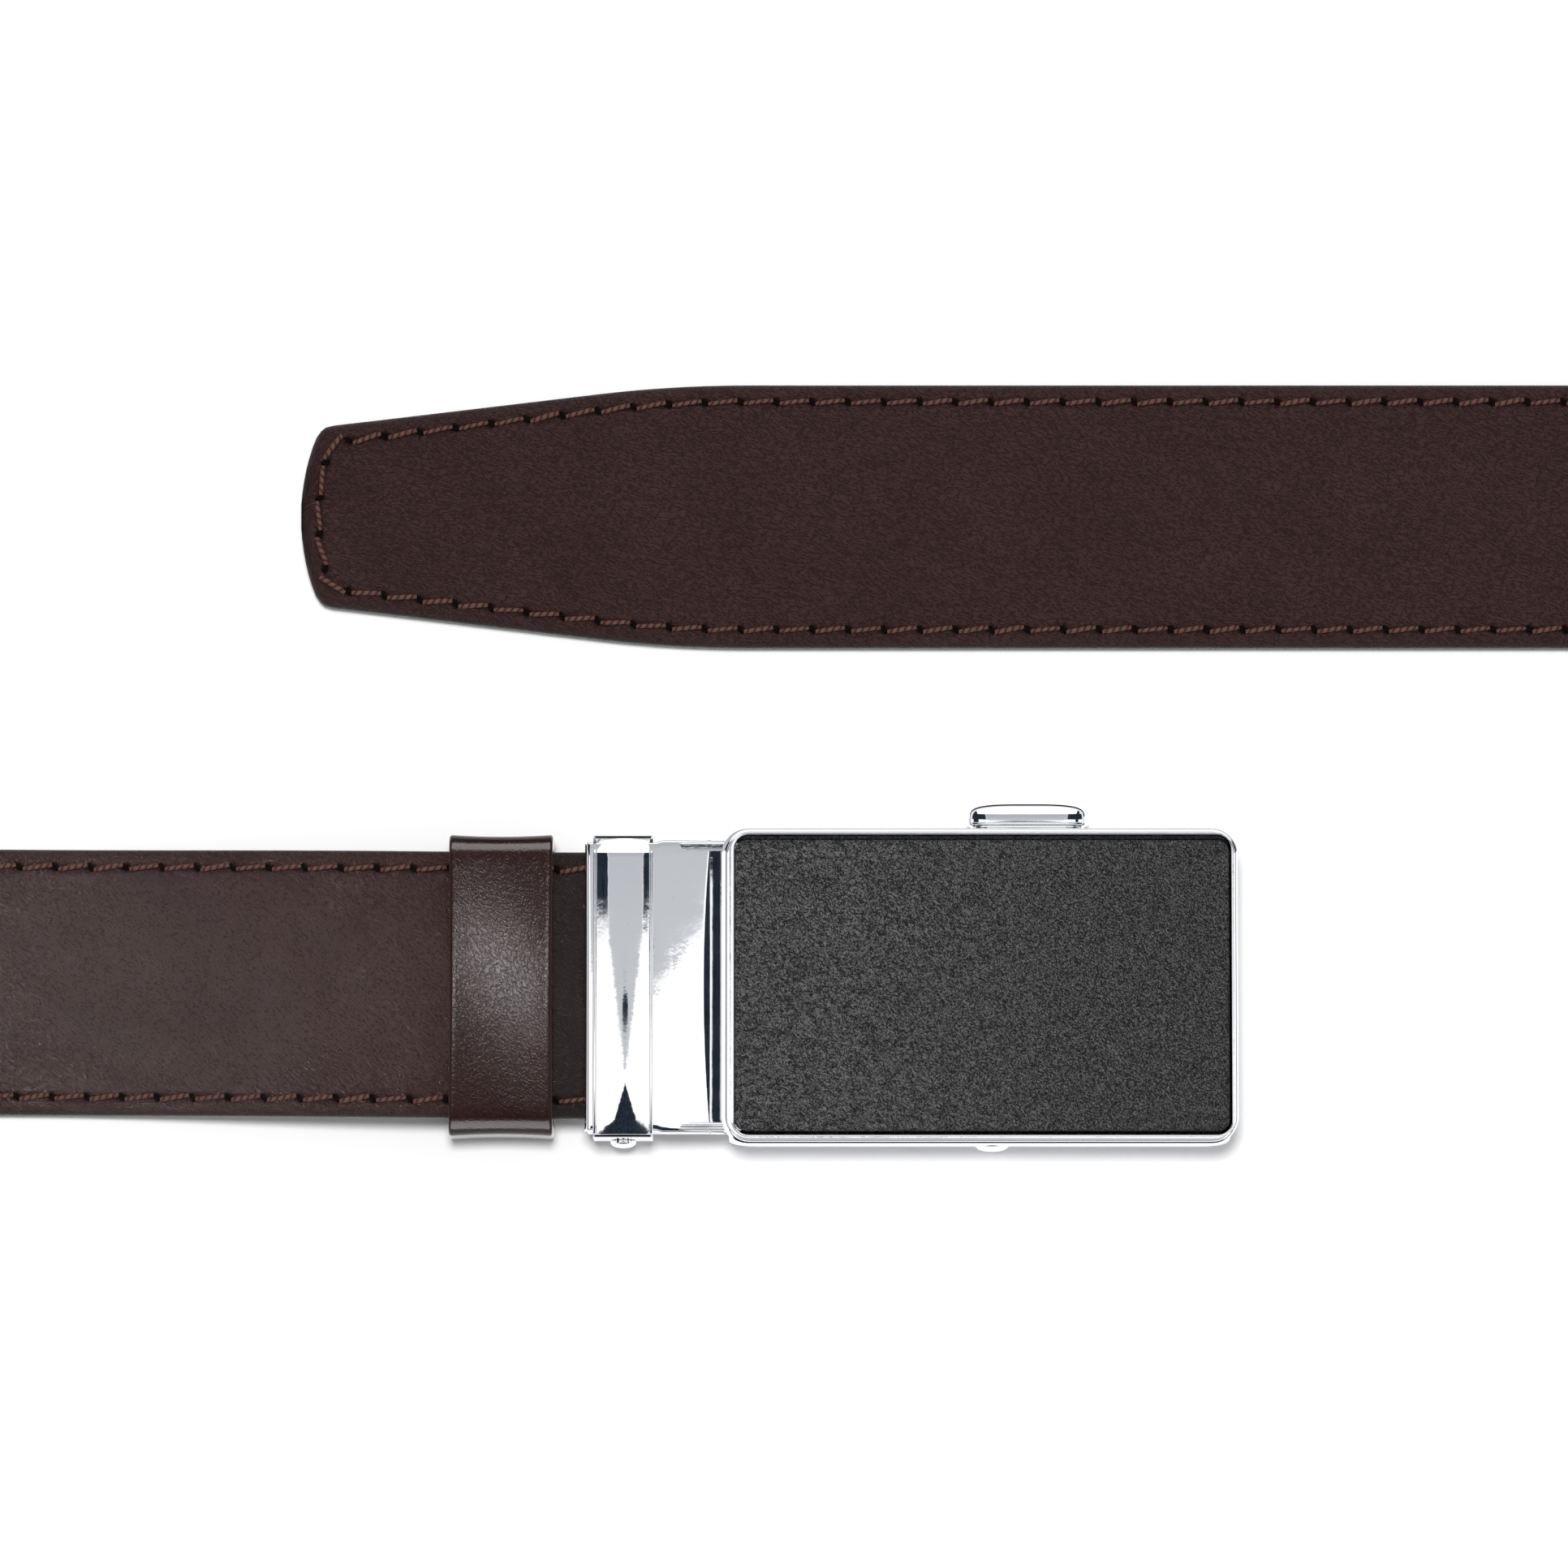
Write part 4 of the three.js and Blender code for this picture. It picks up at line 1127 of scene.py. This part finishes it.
# how far the leather plate reaches past the solid one on each side, in mm
insertSpec = {"left": 0.04, "right": 0.08, "low": -0.3, "high": -0.2, "cornerGap": 0.3}


def makeInsert(spec):
    low, high = local(insertLow), local(insertHigh)
    corner = buckleSpec["pocketCorner"] - spec["cornerGap"]
    loops = []
    for inset, z in ((0.4, low.z), (0.05, low.z), (0, low.z + 0.1), (0, high.z - 0.3), (0.04, high.z - 0.17),
                     (0.12, high.z - 0.07), (0.25, high.z - 0.02), (0.45, high.z), (1.0, high.z + 0.01),
                     (3.0, high.z + 0.015)):
        points = roundedRect(low.x + inset - spec["left"], high.x - inset + spec["right"],
                             low.y + inset - spec["low"], high.y - inset + spec["high"],
                             corner - inset * 0.4)
        loops.append([(x, y, z) for x, y in points])
    bm = bmesh.new()
    addLoft(bm, loops)
    return finishMesh(bm, "insert_leather", "insert", sharp=60)


insert = makeInsert(insertSpec)
print("buckle made")


# clamp cover: a thin outer frame round a bowed panel, with an ear down each side
coverSpec = {"corner": 0.6, "frame": 0.42, "seam": 0.08, "ear": 0.6, "peak": 12.05, "under": 10.85,
             "round": 0.52, "lean": 0.0208, "slopeMiddle": 0.0198, "slopeRate": 0.04,
             "toeStart": -0.573, "toeRate": 0.42, "browStart": 0.895, "brow": 0.2}


def makeCover(spec):
    low, high = local(coverLow), local(coverHigh)
    halfX, halfY = (high.x - low.x) / 2, (high.y - low.y) / 2
    middleX = (low.x + high.x) / 2
    inset = spec["frame"] + spec["seam"]
    panelX, panelY = halfX - inset, halfY - inset

    def ridge(y):
        v = y / panelY
        toe = max(0.0, spec["toeStart"] - v)
        bow = spec["slopeMiddle"] * v + spec["slopeRate"] / 2 * v * v + spec["toeRate"] / 2 * toe * toe
        bow += spec["brow"] * max(0.0, v - spec["browStart"])
        return spec["peak"] - panelY * bow

    def panel(x, y):
        return ridge(y) - spec["round"] * (x / panelX) ** 2 + spec["lean"] * x

    def border(y):
        return ridge(y) - spec["round"] - 0.07

    bm = bmesh.new()
    # the panel: a grid whose sides draw in at its round corners
    radius = spec["corner"] - 0.15
    vs = np.concatenate([-panelY + radius * (1 - np.cos(np.radians(np.arange(0, 90, 12)))),
                         np.linspace(-panelY + radius, panelY - radius, 110),
                         panelY - radius * (1 - np.cos(np.radians(np.arange(78, -1, -13))))])
    us = np.linspace(-1, 1, 33)
    rows, feet = [], []
    for y in vs:
        past = max(0.0, radius - (panelY - abs(y)))
        wide = panelX - (radius - math.sqrt(max(0.0, radius * radius - past * past)))
        rows.append([bm.verts.new(place([(middleX + u * wide, y, panel(u * wide, y))])[0]) for u in us])
        feet.append([bm.verts.new(place([(middleX + u * wide, y, spec["under"] - 0.4)])[0]) for u in us])
    addSlab(bm, rows, feet)

    # the frame: one closed section swept round
    loops = []
    for step, level in ((0.0, -1.0), (0.0, -0.16), (0.03, -0.07), (0.1, -0.015), (0.18, 0.0), (0.3, 0.0),
                        (0.37, -0.02), (0.42, -0.09), (0.42, -1.0)):
        corner = max(spec["corner"] - step, 0.1)
        points = denseRect(-halfX + step, halfX - step, -halfY + step, halfY - step, corner, 8, 4, 90)
        foot = spec["under"] - 0.25
        loops.append([(middleX + x, y, foot if level == -1.0 else border(y) + level) for x, y in points])
    addLoft(bm, loops, ring=True)
    for side in (1, -1):
        y0, y1 = sorted((side * (halfY - spec["ear"]), side * halfY))
        addBox(bm, low.x + 0.05, high.x - 0.05, y0, y1, low.z, spec["under"], round_=0.15, corner=0.14)
    return finishMesh(bm, "cover_chrome", "chrome")


cover = makeCover(coverSpec)


# pins along Y: the domed head reaches from seat to tip, both mm from the buckle's middle
pinSpecs = {
    "clamp_pin_lower_chrome": {"shaft": 0.8, "head": 1.7, "seat": -20.02, "tip": -21.0},
    "clamp_pin_upper_chrome": {"shaft": 0.8, "head": 1.7, "seat": 20.02, "tip": 20.62},
    "lever_pin_chrome": {"shaft": 1.0, "head": 2.25, "seat": -20.3, "tip": -21.35},
}


def lathePin(name, low, high):
    spec = pinSpecs[name]
    shaftRadius, headRadius, seat, tip = spec["shaft"], spec["head"], spec["seat"], spec["tip"]
    low, high = local(low), local(high)
    x, z = (low.x + high.x) / 2, (low.z + high.z) / 2
    foot = high.y if tip < 0 else low.y
    sign = -1 if tip < 0 else 1
    profile = [(foot, shaftRadius * 0.8), (foot + sign * 0.2, shaftRadius), (seat, shaftRadius),
               (seat, headRadius * 0.94), (seat + sign * 0.04, headRadius), (seat + sign * 0.16, headRadius)]
    start = seat + sign * 0.16
    for angle in range(10, 91, 10):
        a = math.radians(angle)
        profile.append((start + (tip - start) * math.sin(a), max(headRadius * math.cos(a) ** 0.8, 0.02)))
    bm = bmesh.new()
    addLoft(bm, [circle(x, y, z, r) for y, r in profile])
    return finishMesh(bm, name, "chrome")


clampPinLower = lathePin("clamp_pin_lower_chrome", lowerPinLow, lowerPinHigh)
clampPinUpper = lathePin("clamp_pin_upper_chrome", upperPinLow, upperPinHigh)
leverPin = lathePin("lever_pin_chrome", leverPinLow, leverPinHigh)


# release knob: a long tab with tapering ends and a rounded front, on a flange and a short boss
knobSpec = {"boss": 1.9, "plateStart": 21.2, "taper": 3.4, "flange": 0.55, "grooveDepth": 0.22}


def knobLoop(low, high, insetX, insetZ, y, taper):
    halfX, halfZ = (high.x - low.x) / 2 - insetX, (high.z - low.z) / 2 - insetZ
    x, z = (low.x + high.x) / 2, (low.z + high.z) / 2
    points = []
    for i in range(72):
        a = 2 * math.pi * i / 72
        c, s = math.cos(a), math.sin(a)
        points.append((x + halfX * math.copysign(abs(c) ** (2 / taper), c), y,
                       z + halfZ * math.copysign(abs(s) ** 0.95, s)))
    return points


def makeKnob(spec):
    low, high = local(knobLow), local(knobHigh)
    start, tip = spec["plateStart"], high.y
    depth = tip - start
    groove, flange = spec["grooveDepth"], spec["flange"]
    profile = [(1.2, 1.2, 0.0), (0.75, 0.5, 0.0), (0.62, 0.36, 0.06), (0.58, 0.32, 0.16),
               (0.58, 0.32, flange - 0.05), (0.62, 0.36, flange), (0.62 + groove, 0.36 + groove, flange + 0.06),
               (0.1, 0.14, flange + 0.12), (0.0, 0.0, flange + 0.3)]
    for i in range(0, 13):
        a = math.pi / 2 * i / 12
        share = 1 - math.cos(a)
        rise = flange + 0.7 + (depth - flange - 0.7) * math.sin(a)
        profile.append((3.4 * share ** 1.6, 1.3 * share, rise))
    bm = bmesh.new()
    addLoft(bm, [knobLoop(low, high, ix, iz, start + rise, spec["taper"]) for ix, iz, rise in profile])
    boss = ((low.y, spec["boss"] - 0.1), (low.y + 0.1, spec["boss"]), (start + 0.3, spec["boss"]))
    addLoft(bm, [circle(buckleSpec["leverX"], y, buckleSpec["leverZ"], r) for y, r in boss])
    return finishMesh(bm, "release_knob_chrome", "chrome")


knob = makeKnob(knobSpec)
print("clamp and lever made")

# the solid model's own pieces that stay
for name, finish in (("ratchet_track", "nylon"), ("clamp_jaw", "steel"), ("pawl", "steel")):
    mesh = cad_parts[name].data
    mesh.materials.clear()
    mesh.materials.append(finishes[finish])


# studio: a white floor, a soft light from overhead, sheen lights for the leather, and what the chrome sees
studio = {
    "floorSize": 6.0, "floorColour": 0.93, "worldLight": 0.42,
    "key": {"place": (-0.06, 0.13, 1.4), "aim": (0, 0, 0), "size": 0.27, "power": 15.3},
    "strapSheen": {"place": (-0.18, 0.053, 0.7), "aim": (-0.115, -0.01, 0), "size": 0.06, "power": 0.038,
                   "spread": 0.2},
    "keeperSheen": {"place": (-0.083, 0.068, 0.7), "aim": (-0.063, 0, 0), "size": 0.04, "wide": 0.2,
                    "power": 1.1},
    "keeperTop": {"place": (-0.063, 0.6, 0.45), "aim": (-0.063, 0, 0), "size": 0.6, "power": 14.0},
    "keeperLow": {"place": (-0.063, -0.6, 0.3), "aim": (-0.063, 0, 0), "size": 0.6, "power": 14.0},
}


def makeFloor(spec):
    size = spec["floorSize"] / 2
    mesh = bpy.data.meshes.new("floor")
    corners = [(-size, -size, 0), (size, -size, 0), (size, size, 0), (-size, size, 0)]
    mesh.from_pydata([Vector(c) + Vector((0, 0, -0.00005)) for c in corners], [], [(0, 1, 2, 3)])
    obj = newObject("floor", mesh)
    level = spec["floorColour"]
    material, tree, shader = newMaterial("floor", Roughness=0.9, Base_Color=(level, level, level, 1),
                                         Specular_IOR_Level=0.1, Emission_Strength=1.0)
    # painted light: the floor glows, and only reflections see the glow, so the chrome mirrors a lighter floor
    mirrored = node(tree, "ShaderNodeLightPath").outputs["Is Glossy Ray"]
    link(tree, mixColour(tree, mirrored, (0, 0, 0, 1), (0.55, 0.55, 0.57, 1)), shader.inputs["Emission Color"])
    mesh.materials.append(material)


# an oval of light, or with sheenOf one that only adds gloss to those pieces
def makeLight(name, spec, sheenOf=()):
    data = bpy.data.lights.new(name, "AREA")
    data.shape = "ELLIPSE"
    data.size = spec.get("wide", spec["size"])
    data.size_y = spec["size"]
    data.energy = spec["power"]
    data.spread = spec.get("spread", math.pi)
    light = newObject(name, data)
    light.location = home + Vector(spec["place"])
    target = home + Vector(spec["aim"])
    light.rotation_euler = (target - light.location).to_track_quat("-Z", "Y").to_euler()
    if sheenOf:
        light.visible_diffuse = False
        receivers = bpy.data.collections.new(name + "Receivers")
        for obj in sheenOf:
            receivers.objects.link(obj)
        light.light_linking.receiver_collection = receivers
    else:
        light.visible_glossy = False


# even light for what is dull, and a studio of white, grey and navy areas for what is polished
def makeWorld(spec):
    world = bpy.data.worlds.new("studio")
    bpy.context.scene.world = world
    world.use_nodes = True
    tree = world.node_tree
    tree.nodes.clear()
    direction = node(tree, "ShaderNodeTexCoord").outputs["Generated"]
    parts = node(tree, "ShaderNodeSeparateXYZ", {0: direction}).outputs
    ragged = noise(tree, direction, 70.0, 6.0, 0.65)
    ragged = minus(tree, ragged, 0.5)
    up = add(tree, parts[1], times(tree, ragged, 0.035))
    side = add(tree, math1(tree, "ABSOLUTE", parts[0]), times(tree, ragged, 0.05))
    navy = mixColour(tree, mapRange(tree, ragged, -0.1, 0.16), (0.008, 0.012, 0.018, 1),
                     (0.035, 0.05, 0.075, 1))
    white = (1.25, 1.25, 1.25, 1)
    grey = mixColour(tree, mapRange(tree, up, 0.1, 0.3), (0.62, 0.63, 0.655, 1), (0.50, 0.51, 0.54, 1))
    # navy to both sides: all of it far out, only a band of it nearer in
    far = times(tree, mapRange(tree, side, 0.62, 0.65), mapRange(tree, parts[0], 0.78, 0.74))
    far = times(tree, far, mapRange(tree, parts[0], -0.88, -0.85))
    near = times(tree, mapRange(tree, side, 0.37, 0.40),
                 times(tree, mapRange(tree, up, 0.145, 0.16), mapRange(tree, up, 0.46, 0.42)))
    dark = math1(tree, "MAXIMUM", math1(tree, "MAXIMUM", far, near), mapRange(tree, up, -0.58, -0.64))
    colour = mixColour(tree, dark, white, navy)
    wedge = minus(tree, up, times(tree, math1(tree, "ABSOLUTE", parts[0]), 0.231))
    wall = times(tree, mapRange(tree, wedge, 0.055, 0.062), mapRange(tree, side, 0.385, 0.37))
    wall = times(tree, wall, mapRange(tree, up, 0.46, 0.42))
    colour = mixColour(tree, wall, colour, grey)
    # a dark gap between the lamps, and the camera over the middle
    gap = math1(tree, "MAXIMUM", times(tree, add(tree, up, 0.02), -1.1),
                times(tree, add(tree, up, 0.2), -6.2))
    gap = minus(tree, gap, side)
    gap = times(tree, mapRange(tree, gap, -0.004, 0.006), mapRange(tree, up, -0.40, -0.36))
    colour = mixColour(tree, gap, colour, navy)
    lens = node(tree, "ShaderNodeVectorMath", {0: direction, 1: (0.0, 0.099, 0.0)},
                operation="SUBTRACT").outputs[0]
    lens = scaled(tree, lens, (15.2, 78.0, 0.0))
    lens = node(tree, "ShaderNodeVectorMath", {0: lens}, operation="LENGTH").outputs["Value"]
    lens = times(tree, mapRange(tree, lens, 1.1, 0.9), mapRange(tree, parts[2], 0.0, 0.1))
    colour = mixColour(tree, lens, colour, navy)
    colour = mixColour(tree, mapRange(tree, parts[2], 0.42, 0.30), colour, (0.9, 0.9, 0.92, 1))
    seen = node(tree, "ShaderNodeBackground", {"Color": colour, "Strength": 1.0})
    even = node(tree, "ShaderNodeBackground", {"Color": (0.985, 0.985, 1.0, 1), "Strength": spec["worldLight"]})
    path = node(tree, "ShaderNodeLightPath")
    mixed = node(tree, "ShaderNodeMixShader", {0: path.outputs["Is Glossy Ray"], 1: even.outputs[0],
                                               2: seen.outputs[0]})
    out = tree.nodes.new("ShaderNodeOutputWorld")
    link(tree, mixed.outputs[0], out.inputs["Surface"])


makeFloor(studio)
makeLight("key", studio["key"])
makeWorld(studio)
bpy.context.scene.view_settings.view_transform = "Standard"
print("studio lit")

# what each piece rides on, which solid pieces it stands for (those are hidden), and a finish slot that nothing
# here reads
for obj, body, nodes, slot in (
        (strap, "belt", ("strap",), "strap_leather"),
        (threadFace, "belt", (), "strap_leather"),
        (threadBack, "belt", (), "strap_leather"),
        (holesFace, "belt", (), "strap_leather"),
        (keeper, "belt", ("keeper_loop",), "keeper_leather"),
        (buckle, "belt", ("buckle_body",), "buckle_metal"),
        (insert, "belt", ("face_insert",), "insert_leather"),
        (cover, "belt", ("clamp_cover",), "buckle_metal"),
        (clampPinLower, "belt", ("clamp_pin_lower",), "buckle_metal"),
        (clampPinUpper, "belt", ("clamp_pin_upper",), "buckle_metal"),
        (leverPin, "lever", ("lever_pin",), "buckle_metal"),
        (knob, "lever", ("release_knob",), "buckle_metal")):
    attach(obj, body)
    if nodes:
        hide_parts(*nodes)

# the sheen lights know their pieces by object, so they come once the pieces are in place
makeLight("strapSheen", studio["strapSheen"], [strap])
for name in ("keeperSheen", "keeperTop", "keeperLow"):
    makeLight(name, studio[name], [keeper])
